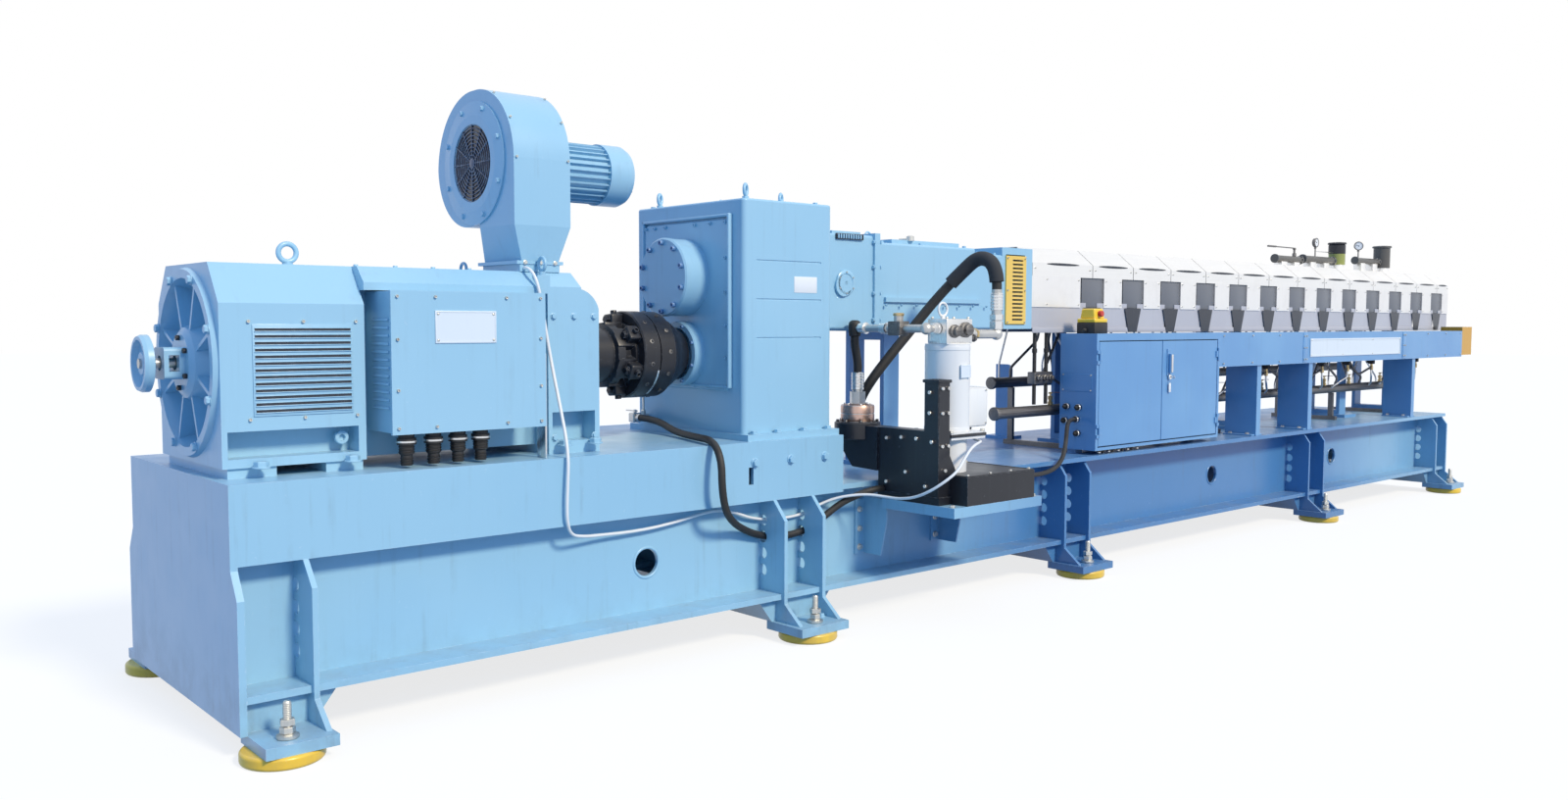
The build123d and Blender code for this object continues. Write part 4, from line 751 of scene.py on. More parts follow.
def base_details():
    """Levelling screws, bolts, and collars round the holes in the web."""
    holes = (1790, 6650, 8520)
    plates = [x + dx for x in FOOT_X[1:4] for dx in (-95, 95)]
    fit("levelling_screws", "zinc", levelling_screw(), spots(UP, (FOOT_X, (-772, 772), 85)))
    fit("foot_plate_bolts", "base_blue", bolt(20), spots(UP, (plates, (-712, 712), 85), spin=0.4))
    fit("fascia_bolts", "base_blue", bolt(22), spots(FRONT, ((2340, 2564, 2787), -612, 845), spin=0.2))
    fit("shelf_bracket_bolts", "zinc", bolt(16),
        spots(FRONT, ((3119, 3703), -516, (345, 440, 540)), spin=0.5, lift=10))
    fit("web_hole_collars", "base_blue", collar(60, 74, 5),
        spots(FRONT, (holes, -516, 433)) + spots(BACK, (holes, 516, 433)))


# Motor, terminal box and blower


def louvres(side, name):
    """Flat plate with folded blades over dark strips, painted shade in the slots, on one side of the motor.
    """
    plate, slot_shades = [side_block(side, (141, 502), (360.2, 364.2), (1158, 1486), 1.5)], []
    for row in range(13):
        z = 1165 + 24.15 * (row + 0.5)
        slot_shades.append(side_block(side, (149, 494), (364.2, 364.8), (z - 5.5, z + 4.5), 0))
        plate += [side_block(side, (147, 496), (364, 368.5), (z - 8.2, z - 5.2), 0.8),
                  side_block(side, (147, 496), (364, 366.5), (z + 4.2, z + 6.6), 0.8)]
    fit("louvre_plate_" + name, "blue", joined(plate), node="louvre_panels")
    fit("louvre_slot_shades_" + name, "painted_shade_black", joined(slot_shades))


def terminal_box_details():
    """Lid screws, blank plate, side vents, and the glands' cuffs and ribs."""
    fit("terminal_lid_screws", "steel", screw(8),
        spots(FRONT, ((618, 770, 1070, 1222), LID_Y, (1098, 1590)), ((618, 1222), LID_Y, (1240, 1430))))
    fit("terminal_box_plate", "pale_plate",
        panel((768, 1024), (LID_Y - 4, LID_Y), (1414, 1538), 1.2, FRONT, 5, -1.4))
    fit("terminal_box_plate_rivets", "zinc", turned([(5, 0), (5, 0.8), (3.75, 2.2), (1.5, 3)], 12, 60),
        spots(FRONT, ((780, 1012), LID_Y - 3.6, (1426, 1526))))
    fit("terminal_box_side_vents", "blue", slab((-6, 6), (-72, 72), (-5, 5)),
        [Matrix.Translation(at(598, -492, z)) @ turn(0.45, "Y") for z in range(1172, 1503, 30)])
    fit("gland_cuffs", "bright_steel", turned([(35.5, 0), (38.5, 1.5), (38.5, 8), (35.5, 9.5)], 32),
        spots(UP, (GLAND_X, -530, 1038)))
    ribs = [copies(turned([(r, 0), (r + 3, 1.5), (r + 3, 4.5), (r, 6)], 28), spots(UP, (GLAND_X, -530, rows)))
            for r, rows in ((27.5, (1000, 1010, 1020)), (21.5, (956, 966, 976)))]
    fit("gland_sleeve_ribs", "glossy_rubber", joined(ribs))


def motor_details():
    """Louvres, bolts and screws of the motor."""
    fit("bare_strip", "bright_steel", block((1249, 1257), (-577, -511), (942, 1368), 1.5))
    louvres(-1, "front")
    louvres(1, "back")
    fit("louvre_screws", "zinc", screw(8), spots(FRONT, ((128, 321, 515), -460.2, (1148, 1496))))
    fit("end_shield_bolts", "blue", bolt(18), circle((12, *SHAFT), LEFT, 326, 8, 22.5))
    fit("bearing_cap_screws", "black", screw(13), circle((2, *SHAFT), LEFT, 92, 6, 30))
    fit("rear_cover_bolts", "blue", bolt(14),
        spots(FRONT, ((1362, 1560), -460, (1010, 1520)), (1462, -460, 1520)))
    boss = turned([(24, -6), (26, -4), (26, 10), (23, 13), (13, 13), (12, 11), (11, -2)], 28)
    fit("jacking_boss", "blue", boss, spots(FRONT, (474, -404, 1062)))
    fit("motor_foot_bolts", "blue", bolt(30), spots(UP, ((150, 480, 1390, 1540), -498, 978), spin=0.3))
    fit("top_cover_screws", "blue", screw(12), spots(UP, ((600, 760, 920, 1080), (-268, 68), 1705), spin=0.1))


def inlet_guard():
    """Rings and spokes of the guard across the blower's inlet."""
    rings = [ring(radius, 2.2, 48, 6) for radius in range(20, 168, 16)]
    spokes = copies(turned([(1.6, 2), (2.6, 3), (2.6, 168), (1.6, 169)], 6, 60),
                    [turn(math.tau * k / 12) @ turn(math.pi / 2, "Y") for k in range(12)])
    return joined([*rings, spokes, turned([(16, -4), (22, -2), (22, 2), (12, 5)], 24)])


def blower_details():
    """Inlet guard, bolts and screws of the blower."""
    fit("inlet_ring_bolts", "blue", bolt(13), circle((1190, *BLOWER), LEFT, 238, 8, 22.5))
    # Black disc behind the guard: painted shade inside the inlet.
    fit("painted_shade_black", "painted_shade_black", turned([(40, 0), (160, 0.5), (164, 2), (164, 4)], 48),
        spots(LEFT, (1195, *BLOWER)))
    fit("inlet_guard", "guard_wire", inlet_guard(), spots(LEFT, (1188, *BLOWER)))
    out, up = 334.332, 315
    seam = []
    for x, angle in itertools.product((1212, 1454), (0.0, 0.55, 1.1)):
        y, z = -math.cos(angle), math.sin(angle)
        seam.append(facing((x, LINE_Y + out * y, BLOWER[1] + up * z), (0, y, z)))
    fit("scroll_seam_screws", "zinc", screw(7), seam)
    fit("neck_flange_bolts", "zinc", bolt(9), spots(FRONT, ((1262, 1333, 1404), -409, 1743)))
    fit("fan_cover_screws", "zinc", screw(8), circle((1955, *BLOWER), RIGHT, 96, 4, 45))
    fit("fan_motor_bolts", "blue", bolt(10), circle((1470, *BLOWER), RIGHT, 158, 6, 30))


# Coupling and gearbox


def coupling_lug():
    """One lug of the coupling, on its saddle, with its bolt and its screw."""
    return joined([
        slab((118, 192), (-36, 36), (252, 318), 9, 3),
        slab((100, 150), (-50, 50), (205, 300), 6),
        placed(bolt(21), shift(166, 0, 252) @ turn(math.pi, "X")),
        placed(screw(20), shift(189, 0, 288) @ turn(math.pi / 2, "Y")),
    ])


def arc_strip(radius, width, thick, sweep):
    """Curved flat strip round +Z, as wide along Z as given."""
    piece = begin("plane", size=1, location=(radius / 1000, 0, 0), rotation=(math.pi / 2, 0, 0))
    bpy.ops.transform.resize(value=(thick / 1000, 1, width / 1000))
    bpy.ops.mesh.spin(steps=16, angle=math.radians(sweep), center=(0, 0, 0), axis=(0, 0, 1))
    return close_up(piece)


def coupling_details():
    """Drum, discs and lugs of the coupling, with their screws; all turn with the shaft."""
    shaft = "drive_shaft"
    drum = turned([(90, 0), (108, 1), (112, 4), (112, 90), (128, 94), (128, 200), (148, 206), (148, 246),
                   (124, 250), (124, 290), (150, 300), (150, 314)], 72, 25)
    discs = turned([(150, 314), (199, 314), (205, 320), (205, 400), (196, 401), (196, 408), (203, 409),
                    (203, 492), (181, 514), (176, 516), (168, 546), (150, 572), (116, 631),
                    (80, 632)], 96, 25)
    lugs = copies(coupling_lug(), [turn(math.radians(25 + 60 * k)) for k in range(6)])
    body = joined([drum, discs, lugs])
    fit("coupling_body", "black", body, spots(RIGHT, (1626, *SHAFT)), shaft, node="coupling")
    fit("coupling_rim_sockets", "dark_steel",
        turned([(10, -1), (10.5, 0.4), (10.5, 1.6), (9, 2.2), (6.5, 2.2), (6, -3)], 16),
        drum_places(1985, SHAFT, 204, 12, 0.2) + drum_places(2085, SHAFT, 204, 12, 0.45), shaft)
    fit("coupling_face_bolts", "dark_steel", bolt(17), circle((1940, *SHAFT), LEFT, 176, 6, 40), shaft)
    fit("coupling_hub_screws", "black", screw(11), circle((2140, *SHAFT), RIGHT, 158, 12), shaft)
    # Bright arc on one part of the rim: painted highlight.
    fit("coupling_rim_highlight", "bright_steel", arc_strip(206.5, 10, 2, 42),
        spots(RIGHT, (2022, *SHAFT), spin=math.radians(242)), shaft)


def tee_handle():
    """Handle of the drain valve, on its stem."""
    bar = turned([(4, -32), (6, -28), (6, 28), (4, 32)], 14)
    return joined([
        turned([(5, 0), (6, 2), (6, 92), (5, 94)], 14),
        placed(bar, shift(0, 0, 86) @ turn(math.pi / 2, "Y")),
        hexagon((12, -6), (14, 0), (14, 12), (9, 18)),
    ])


def gearbox_details():
    """Rim, screws, bolts, blank label and drain handle of the gearbox."""
    fit("output_cover_screws", "shaded_blue_screws", screw(17), circle((2185, *BARREL), LEFT, 165, 10, 18))
    fit("input_cover_screws", "shaded_blue_screws", screw(11), circle((2266, *SHAFT), LEFT, 142, 8, 22.5))
    fit("face_cover_screws", "blue", screw(11),
        spots(LEFT, (2324, (-416, -300, -180, 60, 150, 223), (1189, 1966)),
              (2324, (-416, 223), (1330, 1480, 1640, 1800))))
    fit("face_cover_rim", "blue", joined([
        block((2313, 2338), (-450, -432), (1183, 2008), 7, 3),
        block((2316, 2338), (-446, 256), (1992, 2006), 5, 3),
        block((2316, 2338), (-446, 256), (1185, 1197), 5, 3),
        block((2316, 2338), (240, 256), (1185, 2006), 5, 3),
    ]))
    fit("gearbox_foot_bolts", "blue", bolt(20),
        spots(UP, ((2380, 2530, 2700, 2860), (-556, 356), 971), spin=0.2))
    fit("gearbox_top_bolts", "blue", bolt(16), spots(UP, ((2400, 2620, 2850), (-470, 270), 2075), spin=0.3))
    fit("bare_label", "white", block((2656, 2806), (-531.6, -530), (1640, 1718), 0.7))
    fit("drain_tee_handle", "zinc", tee_handle(), spots(UP, (2262, 172, 1036), spin=0.5))


# Distribution housing, lantern and barrel


def eyebolt(d):
    """Lifting eye standing on its collar."""
    foot = turned([(0.9 * d, 0), (1.0 * d, 0.1 * d), (1.0 * d, 0.4 * d), (0.6 * d, 0.55 * d)], 20)
    eye = ring(1.2 * d, 0.3 * d, 32, 10, rotation=(math.pi / 2, 0, 0), location=(0, 0, 0.0019 * d))
    bpy.ops.object.transform_apply(location=True, rotation=True, scale=True)
    bpy.ops.object.shade_smooth_by_angle(angle=math.radians(60))
    return joined([foot, eye])


def housing_details():
    """Vent, inspection cap, latch, eye and fasteners of the distribution housing and its grille."""
    levels = (1510, 1650, 1790, 1920)
    fit("housing_flange_bolts", "blue", bolt(12),
        spots(LEFT, (3355, -388, levels)) + spots(RIGHT, (3395, -388, levels)))
    # Near-black panel behind the vent's slats: painted shade in the opening.
    fit("top_vent_shade", "painted_shade_black", panel((3076, 3272), (-392, -380), (1926, 1956), 2, FRONT, 3, -3))
    fit("top_vent_slats", "blue",
        joined([block((x, x + 9), (-395, -388), (1930, 1952), 1) for x in range(3084, 3262, 18)]))
    fit("inspection_cap", "blue", turned([(64, 0), (66, 2), (66, 10), (60, 14), (48, 14), (44, 10), (30, 10),
                                          (26, 13), (10, 14)], 36), spots(FRONT, (3146, -380, 1702)))
    fit("inspection_cap_screws", "zinc", screw(6), circle((3146, -392, 1702), FRONT, 55, 6, 30))
    fit("housing_ledge_screws", "blue", screw(9), spots(FRONT, (range(3440, 4300, 120), -394, 1590)))
    fit("housing_top_bolts", "blue", bolt(14),
        spots(UP, ((3450, 3760, 4130), (-350, 150), 1923), ((4240, 4400), (-350, 150), 1895), spin=0.2))
    pad = placed(turned([(20, -14), (22, -12), (22, 12), (14, 16)], 20), facing((3708, -320, 1958), UP))
    fit("lid_latch", "zinc", joined([block((3700, 3716), (-330, -240), (1950, 1962)), pad]))
    fit("housing_eye", "blue", eyebolt(18), spots(UP, (3600, LINE_Y, 1945)))
    fit("grille_screws", "zinc", screw(7), spots(FRONT, ((4484, 4650), -388, (1502, 1690, 1880))))


def grip_slit(length):
    """Long lens-shaped mark for the recess of a hood's grip, dark as painted shade."""
    piece = begin("circle", vertices=32, radius=0.5, fill_type="NGON")
    bpy.ops.transform.resize(value=(length / 1000, 0.016, 1))
    bpy.ops.mesh.inset(thickness=0.002, depth=0)
    extrude(UP, 2)
    return close_up(piece)


def barrel_details():
    """Grips and screws of the covers, and the plates over each joint of the barrel; the black sheets behind
    and below each joint are painted shade.
    """
    gaps = [FIRST_GAP + SECTION * k for k in range(13)]
    sections = list(itertools.pairwise([BARREL_ENDS[0], *gaps, BARREL_ENDS[1]]))
    grip_shades = [placed(grip_slit(min(340, (b - a) * 0.72)), facing(((a + b) / 2, -380.5, 1858), FRONT))
             for a, b in sections]
    fit("hood_grip_shades", "painted_shade_black", joined(grip_shades))
    screws, plates, shade_backs, shade_aprons = [], [], [], []
    for side, way in ((-1, FRONT), (1, BACK)):
        wall = LINE_Y + side * 280
        for a, b in sections:
            inner = (a + 150, b - 150) if b - a > 360 else (a + b) / 2
            screws += spots(way, (inner, wall, (1612, 1764)), ((a + 30, b - 30), wall, 1830))
        for x in gaps:
            low, high = x - GAP_HALF, x + GAP_HALF
            # The plate leaves a strip at one side where the black back shows: painted shade in the joint.
            plates.append(side_block(side, (low + 24, high - 1), (268, 271), (1596, 1781), 1))
            shade_backs.append(side_block(side, (low, high), (262, 264), (1592, 1784), 0.6))
            # Black apron below each gap: painted shade.
            shade_apron = side_block(side, (x - 96, x + 96), (280.6, 283), (1440, 1595), 0)
            shade_aprons.append(tapered(shade_apron, DOWN, (0.5, 1, 1)))
    fit("cover_screws", "zinc", screw(6), screws)
    fit("joint_covers", "joint_grey", joined(plates))
    fit("gap_shade_aprons", "painted_shade_black", joined(shade_backs + shade_aprons))
    fit("barrel_sills", "skirt_grey",
        joined([side_block(side, (4742, 11190), (276, 279), (1437, 1470), 1) for side in (-1, 1)]))


# Bridge, cabinet and stop box


def bridge_details():
    """Blank sign plate, straps, screws and foot plates of the bridge."""
    y = BRIDGE_Y
    straps = (7700, 9500)
    fit("bare_sign_plate", "pale_plate", panel((7780, 9420), (y - 6, y), (1246, 1384), 2, FRONT, 9, -3))
    fit("sign_rivets", "zinc", turned([(6, 0), (6, 1), (4.6, 3), (2, 4)], 12, 60),
        spots(FRONT, ((7800, 8327, 8873, 9400), y - 5, (1258, 1372))))
    fit("bridge_joint_straps", "bridge_shaded_blue",
        joined([block((x - 30, x + 30), (y - 3, y), (1206, 1428), 1.2) for x in straps]))
    fit("bridge_screws", "zinc", screw(8),
        spots(FRONT, ([x + dx for x in straps for dx in (-18, 18)], y - 3, (1230, 1317, 1404)),
              ((6500, 6900, 7300, 10000, 10400, 10760), y, (1222, 1412))))
    fit("post_foot_plates", "bridge_shaded_blue",
        joined([block((x - 75, x + 75), (-645, -425), (695.2, 705)) for x in POST_X]))
    fit("post_foot_bolts", "zinc", bolt(14),
        spots(UP, ([x + dx for x in POST_X for dx in (-55, 55)], (-600, -470), 695), spin=0.3, lift=10))


def cabinet_details():
    """Plugs, glands and side cover of the cabinet."""
    below = [facing((5060 + 52 * k, -652 + 6 * (k % 2), 722), DOWN, 0.3 * k) for k in range(9)]
    fit("cabinet_bottom_plugs", "black_plastic",
        turned([(9, 0), (11, 1), (11, 7), (8, 9), (8, 20), (5, 22)], 14, 30), below)
    fit("cabinet_plug_cuffs", "bright_steel", turned([(8.2, 0), (9.6, 1), (9.6, 6), (8.2, 7)], 14),
        [place @ shift(0, 0, 9) for place in below[::2]])
    glands = ((-546, 982), (-460, 984), (-447, 897), (-539, 822))
    fit("cabinet_gland_stoppers", "rubber",
        turned([(10, 0), (12.5, 1), (12.5, 7), (10, 9), (8, 11), (7.5, 15), (4, 17)], 16),
        spots(LEFT, *((4970.5, *gland) for gland in glands)))
    fit("cabinet_gland_rings", "bright_steel", collar(15.5, 21, 5, 24),
        spots(LEFT, *((4985, *gland) for gland in (*glands, (-531, 908)))))
    fit("cabinet_side_cover", "bridge_shaded_blue", panel((4996, 5004), (-640, -420), (1078, 1190), 2, LEFT, 8, 0.8))
    fit("side_cover_screws", "zinc", screw(6), spots(LEFT, (4995.5, (-630, -430), (1088, 1180))))


def door_details():
    """Lock of the right door, with its key, tag and lever."""
    x, y, door = 5808, BRIDGE_Y, "door_right"
    fit("lock_barrel", "bright_steel", turned([(15, 0), (16, 1), (16, 9), (14, 11), (9, 11), (8.4, 7)], 24),
        spots(FRONT, (x, y - 6, 1150)), door)
    bow = turned([(9, -1.4), (10.5, -0.8), (10.5, 0.8), (9, 1.4)], 20)
    fit("lock_key", "bright_steel", joined([block((x - 4, x + 4), (y - 34, y - 14), (1146.5, 1153.5), 1),
                                            placed(bow, facing((x, y - 38, 1150), RIGHT))]), body=door)
    fit("key_tag", "white_plastic", joined([
        panel((x - 12, x + 12), (y - 13, y - 9.5), (1052, 1112), 3, FRONT, 3, -0.8),
        block((x - 1, x + 1), (y - 13, y - 11), (1108, 1144), 0.6)]), body=door)
    fit("lock_lever", "bright_steel", block((x - 9, x + 9), (y - 30, y - 24), (1180, 1296), 3), body=door)


def stop_box_details():
    """Yellow hood over a black base, with the red stop knob."""
    base = block((5060, 5200), (-605, -475), (1433.3, 1500), 4)
    fit("stop_box_base", "black_plastic", base, node="stop_box")
    hood = tapered(block((5074, 5186), (-593, -487), (1522, 1586), 0), UP, (0.88, 0.86, 1), 9)
    fit("stop_box_hood", "yellow_plastic",
        joined([block((5061, 5199), (-604, -476), (1500, 1524), 6, 3), hood]), node="stop_box")
    knob = turned([(17, 0), (19, 2), (19, 5), (13, 7), (13, 11), (17, 13), (19, 16), (19, 20), (16, 24),
                   (6, 25)], 30)
    fit("stop_knob", "red_plastic", knob, spots(FRONT, (5130, -590, 1554)))
    fit("stop_box_screws", "zinc", screw(3.5), spots(UP, ((5069, 5191), (-597, -483), 1523.5)))
    gland = turned([(12, 0), (14, 2), (14, 9), (10, 12), (10, 20), (6, 22)], 18)
    fit("stop_box_gland", "black_plastic", gland, spots(LEFT, (5058, -540, 1452)))


# Vent unit on top of the barrel


def gauge(name, x, z, pipe_z, direction):
    """Dial gauge on its stem, with a bezel, scale marks and a pointer."""
    r = 38
    centre = facing((x, LINE_Y, z), direction)
    rise = z - pipe_z - r
    back = turned([(r - 8, -16), (r - 2, -12), (r - 2, 6), (r + 2, 7), (r + 2, 12), (r - 1, 14), (r - 5, 14),
                   (r - 6, 11)], 32)
    stem = hexagon((5, 0), (6, 2), (6, rise - 14), (11, rise - 12), (11, rise + 2))
    body = joined([placed(back, centre), placed(stem, facing((x, LINE_Y, pipe_z), UP))])
    fit(name + "_body", "dark_steel", body, node="vacuum_unit")
    fit(name + "_dial", "white_plastic", turned([(r - 5, 9), (r - 5, 11.2)], 32), [centre])
    marks = copies(slab((-0.8, 0.8), (23, 30), (10.8, 11.8), 0),
                   [centre @ turn(math.radians(-135 + 27 * k)) for k in range(11)])
    hand = joined([slab((-1.1, 1.1), (-7, 26), (11.4, 12.6), 0), turned([(4, 11), (4, 13), (2, 13.6)], 14)])
    fit(name + "_scale", "black_plastic", joined([marks, placed(hand, centre @ turn(1.2))]))


def vent_pipe(x, z, r):
    """Short pipe along the line, with a flange at each end."""
    end = x[1] - x[0]
    profile = [(r + 2, 0), (r + 8, 2), (r + 8, 16), (r, 18),
               (r, end - 18), (r + 8, end - 16), (r + 8, end - 2), (r + 2, end)]
    return placed(turned(profile, 28), facing((x[0], LINE_Y, z), RIGHT))


def vent_pots(first_x, second_x):
    """The two pots with their feet and lid bolts."""
    fit("first_pot", "olive", turned([(62, 46), (68, 48), (68, 140), (68, 141)], 36),
        spots(UP, (first_x, LINE_Y, HOOD_TOP)), node="vacuum_unit")
    fit("first_pot_head", "black",
        turned([(66, 141), (70, 143), (70, 216), (62, 222), (76, 224), (76, 236), (70, 240), (30, 244)], 36),
        spots(UP, (first_x, LINE_Y, HOOD_TOP)), node="vacuum_unit")
    fit("second_pot", "vent_grey",
        turned([(64, 46), (71, 48), (71, 230), (82, 232), (82, 244), (76, 248), (34, 252)], 36),
        spots(UP, (second_x, LINE_Y, HOOD_TOP)), node="vacuum_unit")
    fit("pot_feet", "stainless", turned([(86, 0.3), (88, 2), (88, 10), (60, 14), (60, 50)], 36),
        spots(UP, ((first_x, second_x), LINE_Y, HOOD_TOP)))
    lids = circle((first_x, LINE_Y, HOOD_TOP + 238), UP, 68, 8, 10)
    lids += circle((second_x, LINE_Y, HOOD_TOP + 246), UP, 74, 8, 10)
    fit("pot_lid_bolts", "zinc", bolt(6), lids)


def vent_details():
    """Pipes, saddles, pots, gauges and the valve's long handle."""
    pipes = (((8312, 8758), 2026, 28), ((8796, 9362), 2040, 30), ((9798, 10284), 2062, 27))
    fit("vent_pipes", "vent_grey", joined([vent_pipe(*pipe) for pipe in pipes]), node="vacuum_unit")
    saddles = ((8420, 2004), (8640, 2004), (8930, 2016), (9180, 2016), (9900, 2040), (10150, 2040))
    fit("vent_saddles", "stainless",
        joined([block((x - 46, x + 46), (-136, -64), (HOOD_TOP + 0.3, z), 5) for x, z in saddles]))
    vent_pots(9440, 10364)
    gauge("first_gauge", 9028, 2184, 2068, FRONT)
    gauge("second_gauge", 9866, 2192, 2088, (-0.8, -0.6, 0))
    fit("gauge_tube", "bright_steel", turned([(3.4, 0), (4, 2), (4, 350), (3.4, 352)], 10),
        spots(RIGHT, (9030, LINE_Y, 2112)))
    stem = hexagon((14, 0), (18, 2), (18, 26), (10, 30), (10, 56), (14, 58), (14, 70), (9, 73))
    fit("vent_valve_handle", "dark_steel", joined([
        placed(stem, facing((8652, LINE_Y, 2052), UP)), block((8206, 8664), (-107, -93), (2118, 2126), 2.5),
        block((8200, 8330), (-110, -90), (2115, 2129), 5)]))
    flanges = []
    for (a, b), z, r in pipes:
        flanges += circle((a + 16, LINE_Y, z), RIGHT, r + 2, 6, 30)
        flanges += circle((b - 16, LINE_Y, z), LEFT, r + 2, 6, 30)
    fit("vent_flange_bolts", "zinc", bolt(4.5), flanges)


# Water pipes and tubes below the barrel


def pipe_details():
    """Caps and hand valves of the water pipes, and the feed valve block."""
    far_end = 10250
    valve_x = (5000, 5600, 6064, 6528, 6992, 7700, 8300, 8764, 9228, 9850)
    ends = spots(LEFT, (4450, -330, 955), (4990, 130, 1105))
    ends += spots(RIGHT, (far_end, -330, 955), (far_end, 130, 1105))
    cap = turned([(30, -14), (41, -12), (41, 6), (38, 10), (24, 12)], 28)
    fit("pipe_end_caps", "dark_steel", cap, ends)
    body = joined([hexagon((14, -6), (17, -4), (17, 16), (12, 18), (12, 30), (16, 32), (16, 52), (12, 54)),
                   turned([(5, 52), (5, 66), (12, 67), (13, 69), (13, 74), (10, 76)], 16)])
    fit("pipe_valves", "brass", body, spots(UP, (valve_x, -330, 989), spin=0.3))
    fit("pipe_valve_levers", "red_brown", slab((-6, 6), (-6, 75), (0, 4), 1.2),
        [facing((x, -330, 1063), UP, 0.5 + 0.4 * (k % 3)) for k, x in enumerate(valve_x)])
    fit("feed_risers", "black_plastic",
        turned([(11, 0), (12, 1), (12, 318), (16, 320), (16, 344), (12, 346), (12, 466)], 16),
        spots(UP, ((4832, 4950), -330, 995)))
    ports = copies(hexagon((18, 0), (20, 2), (20, 14), (14, 18), (14, 30), (9, 32)),
                   spots(FRONT, ((4832, 4892, 4950), -358, 1160)))
    fit("feed_valve_block", "dark_steel",
        joined([panel((4800, 4985), (-358, -302), (1122, 1196), 4, FRONT, 8, 3), ports]))


def bent_tube(radius, *places):
    """Rigid tube through the given places, bent round at each corner."""
    bend, steps = 28, 6
    points = [Vector(place) for place in places]
    path = [points[0]]
    for before, corner, after in zip(points, points[1:], points[2:]):
        entry = corner + (before - corner).normalized() * bend
        leave = corner + (after - corner).normalized() * bend
        for t in (k / steps for k in range(steps + 1)):
            path.append(entry * (1 - t) ** 2 + corner * 2 * t * (1 - t) + leave * t ** 2)
    return tube([at(*place) for place in (*path, points[-1])], radius, 3, 50)


def section_tubes(k, bright, dark):
    """Two tubes from each water pipe up into a barrel section."""
    x = 5128 + SECTION * k
    lean = (190, -150, 110)[k % 3]
    reach = x + 0.4 * lean
    bright += [
        bent_tube(7, (x, -330, 990), (x, -330, 1030 + 20 * (k % 2)), (x + lean, -285, 1200),
                  (reach, -215, 1430), (reach, -215, 1540)),
        bent_tube(7, (x - 60, 130, 1138), (x - 60, 130, 1230), (x - 60, 40, 1540)),
    ]
    dark += [
        bent_tube(9, (x + 120, -330, 990), (x + 120, -352, 1040), (x + 120 - 1.5 * lean, -300, 1190),
                  (x + 60, -250, 1420), (x + 60, -230, 1540)),
        bent_tube(9, (x + 60, 130, 1138), (x + 60, 130, 1200), (x + 60 + lean, 60, 1380),
                  (x + 60 + lean, 20, 1540)),
    ]


def valve_tubes(x, way, bright, dark):
    """Tubes from a solenoid valve to the water pipe and up into the barrel."""
    bright.append(bent_tube(8, (x, -436, 1106), (x, -436, 1060), (x + way, -380, 985), (x + way, -350, 960)))
    dark.append(bent_tube(9, (x, -436, 1120), (x - 40, -436, 1120), (x - way, -380, 1060),
                          (x - 1.4 * way, -300, 1215), (x - 1.4 * way, -240, 1540)))


def cooling_details():
    """Solenoid valves below the bridge, and the tubes of every barrel section."""
    bright, dark = [], []
    for k in range(12):
        section_tubes(k, bright, dark)
    valve_x = [5242 + SECTION * k for k in range(3, 12)]
    hangers = []
    for k, x in enumerate(valve_x):
        hangers.append(block((x - 14, x + 14), (-446, -426), (1196, 1200), 0.5))
        valve_tubes(x, -120 if k % 2 else 130, bright, dark)
    places = spots(UP, (valve_x, -436, 1102))
    coil = joined([slab((-19, 19), (-22, 22), (52, 98), 4), slab((-13, 13), (-40, -22), (60, 88), 3)])
    fit("valve_coils", "black_plastic", coil, places)
    body = hexagon((12, 0), (15, 2), (15, 30), (11, 33), (11, 52))
    fit("valve_bodies", "brass", joined([copies(body, places), *hangers]))
    fit("cooling_tubes", "bright_steel", joined(bright))
    fit("return_tubes", "dark_steel", joined(dark))


# Oil unit

PUMP_FLANGE = (3182, -443)
ELBOW = (3742, -900)


def pump_details():
    """Screws and cap of the pump's body, and the copper collar on its flange."""
    fit("pump_side_screws", "bright_steel", screw(13), spots(
        LEFT, (3140, -1000, 920), (3140, (-900, -800), 930), (3140, -700, 920), (3140, (-960, -700), 700),
        (3140, -830, 760), (3140, -985, (1160, 1060))))
    fit("pump_front_screws", "bright_steel", screw(12),
        spots(FRONT, ((3160, 3204), -1037, (1180, 1060, 900)), (3182, -1037, 780), (3250, -1037, 690)))
    fit("pump_column_cap", "black", panel((3134, 3230), (-1043, -934), (1206, 1222), 4, UP, 10, -3))
    fit("flange_screws", "dark_steel", screw(11), circle((*PUMP_FLANGE, 985), UP, 104, 8, 10))
    fit("copper_collar", "copper",
        turned([(86.6, 2), (88, 4), (88, 38), (84, 42), (88, 46), (88, 78), (84, 86), (60, 86.6), (52, 92),
                (44, 92)], 48), spots(UP, (*PUMP_FLANGE, 985)))
    fit("copper_collar_screws", "bright_steel", screw(9), circle((*PUMP_FLANGE, 1071), UP, 68, 6))


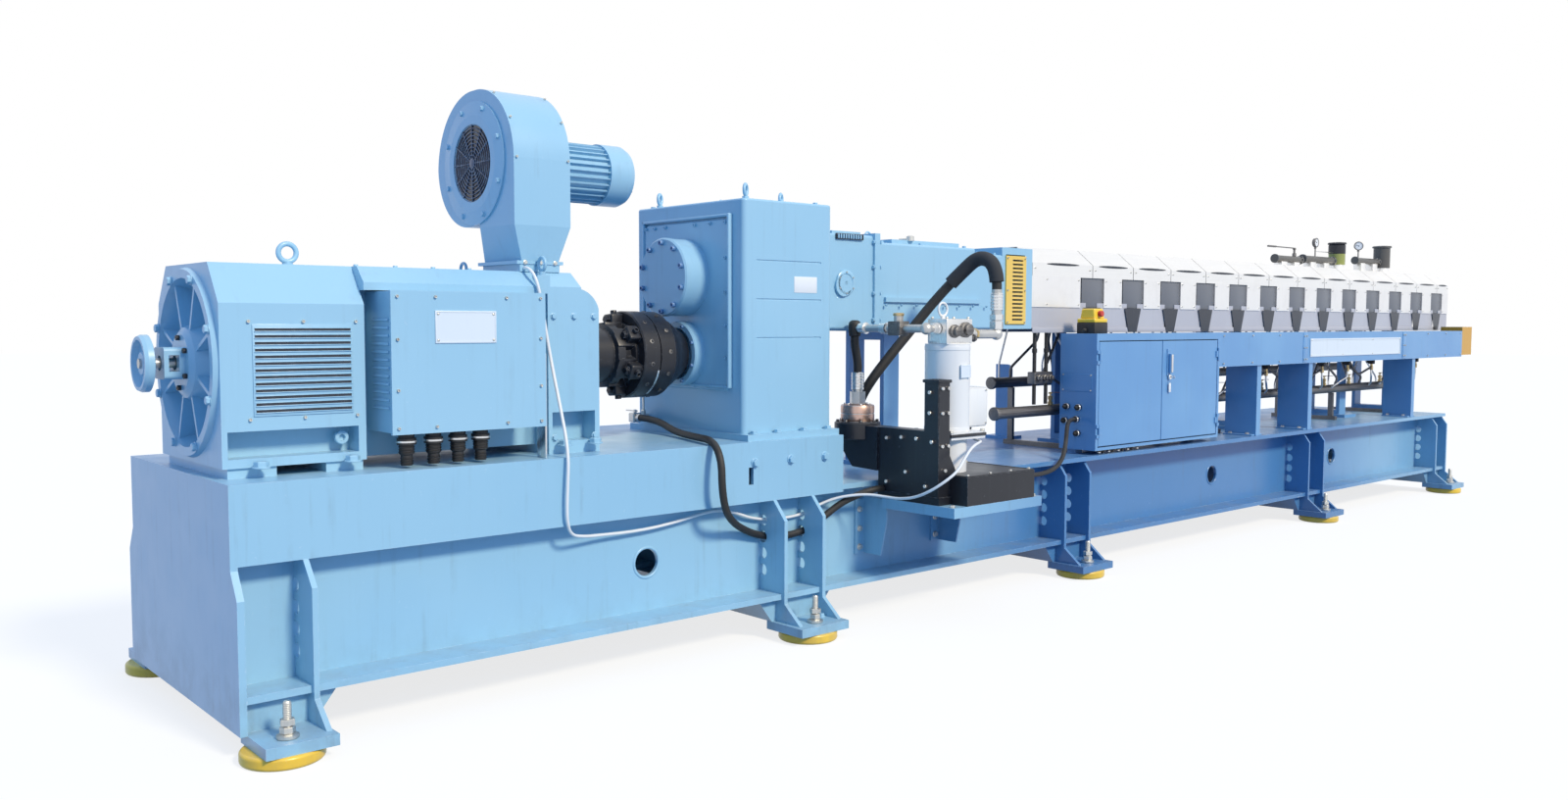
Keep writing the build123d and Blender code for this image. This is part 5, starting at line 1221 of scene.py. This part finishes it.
def fitting_details():
    """Crimps, nuts, cuffs and valve of the oil hoses and the supply pipe."""
    grooves = [(r, 14 + 16 * k + dz) for k in range(5) for r, dz in ((33, 0), (30.5, 3), (33, 6))]
    fit("hose_crimps", "bright_steel", turned([(29, 0), (33, 3), *grooves, (33, 88), (28, 92)], 28, 30),
        spots(UP, (*PUMP_FLANGE, 1148), (*ELBOW, 1560)))
    fit("hose_nuts", "bright_steel", hexagon((34, 0), (38, 3), (38, 28), (34, 31)),
        spots(UP, (*ELBOW, 1510), (3270, -359, 985)))
    fit("elbow_nut", "bright_steel", hexagon((33, 0), (37, 3), (37, 40), (33, 44)), spots(UP, (*ELBOW, 1462)))
    fit("suction_elbow", "rubber", turned([(24, 0), (31, 4), (33, 30), (33, 62), (28, 76), (14, 84)], 28, 50),
        spots(UP, (3170, -432, 1425)))
    fit("supply_pipe_cuffs", "bright_steel",
        turned([(22, 0), (27, 3), (27, 34), (30, 36), (30, 44), (24, 46)], 24),
        spots(FRONT, (3170, (-470, -620), 1468)) + spots(RIGHT, (3204, -925, 1468)))
    knob = turned([(16, 0), (19, 2), (19, 14), (14, 16), (14, 26), (26, 28), (28, 31), (28, 40), (24, 43),
                   (8, 44)], 22)
    fit("supply_valve_knob", "brass", knob, spots(UP, (3170, -740, 1502)))
    fit("supply_valve_body", "dark_steel", panel((3134, 3206), (-782, -698), (1432, 1504), 5, LEFT, 10, 2))
    fit("delivery_union", "brass",
        hexagon((26, 0), (30, 3), (30, 24), (24, 27), (24, 60), (29, 62), (29, 76), (22, 80)),
        spots(RIGHT, (3500, -900, 1440)))


def filter_head_details():
    """Shell of the filter head, with its ports and screws."""
    fit("filter_head_shell", "bright_steel", panel((3250, 3443), (-988, -862), (1396, 1516), 4, LEFT, 10, -2))
    ports = []
    for x, z, r in ((3300, 1455, 30), (3385, 1462, 36)):
        port = turned([(r, 0), (r + 3, 2), (r + 3, 12), (0.8 * r, 16), (0.8 * r, 34), (0.55 * r, 38)], 24)
        ports.append(placed(port, facing((x, -988, z), FRONT)))
    stem = hexagon((16, 0), (22, 2), (22, 20), (13, 24), (13, 60), (20, 62), (20, 74), (12, 78))
    fit("filter_head_ports", "dark_steel", joined([*ports, placed(stem, facing((3443, -940, 1420), RIGHT))]))
    fit("filter_head_screws", "zinc", screw(10), spots(UP, ((3266, 3427), (-972, -878), 1516)))


def oil_motor_details():
    """Bands, flange, blank plate and terminal box of the oil motor."""
    fit("motor_bands", "pale_grey", turned([(112.4, 0), (114, 2), (114, 20), (112.6, 24)], 48),
        spots(UP, (3352, -905, (957, 1360))))
    fit("oil_motor_plate", "pale_plate", panel((3318, 3392), (-1024, -1017), (1225, 1290), 1.5, FRONT, 4, -1))
    fit("oil_motor_flange", "black", panel((3236, 3506), (-1036, -774), (934, 950), 4, UP, 10, -2))
    fit("oil_motor_flange_bolts", "zinc", bolt(14), spots(UP, ((3252, 3490), (-1020, -790), 957)))
    fit("oil_motor_box_lid", "pale_grey", panel((3470, 3636), (-931, -925), (972, 1165), 5, FRONT, 10, 2))
    fit("oil_box_screws", "zinc", screw(6), spots(FRONT, ((3482, 3624), -931, (984, 1153))))
    fit("oil_box_gland", "black_plastic", turned([(11, 0), (13, 2), (13, 12), (9, 18), (9, 24)], 16),
        spots(DOWN, (3556, -880, 967)))


def tank_details():
    """Lid of the low tank, and the bolts through the shelf."""
    fit("tank_lid", "black", panel((3232, 3746), (-1146, -704), (748, 757), 3, UP, 8, -2))
    fit("tank_lid_bolts", "zinc", bolt(10), spots(UP, ((3250, 3420, 3580, 3728), (-1130, -720), 755)))
    fit("shelf_bolts", "zinc", bolt(14), spots(UP, ((3150, 3780), (-1120, -760), 612), spin=0.4))


DETAILS = (
    cords, base_details, terminal_box_details, motor_details, blower_details, coupling_details,
    gearbox_details, housing_details, barrel_details, bridge_details, cabinet_details, door_details,
    stop_box_details, vent_details, pipe_details, cooling_details, pump_details, fitting_details,
    filter_head_details, oil_motor_details, tank_details, make_floor,
)
for make in DETAILS:
    make()
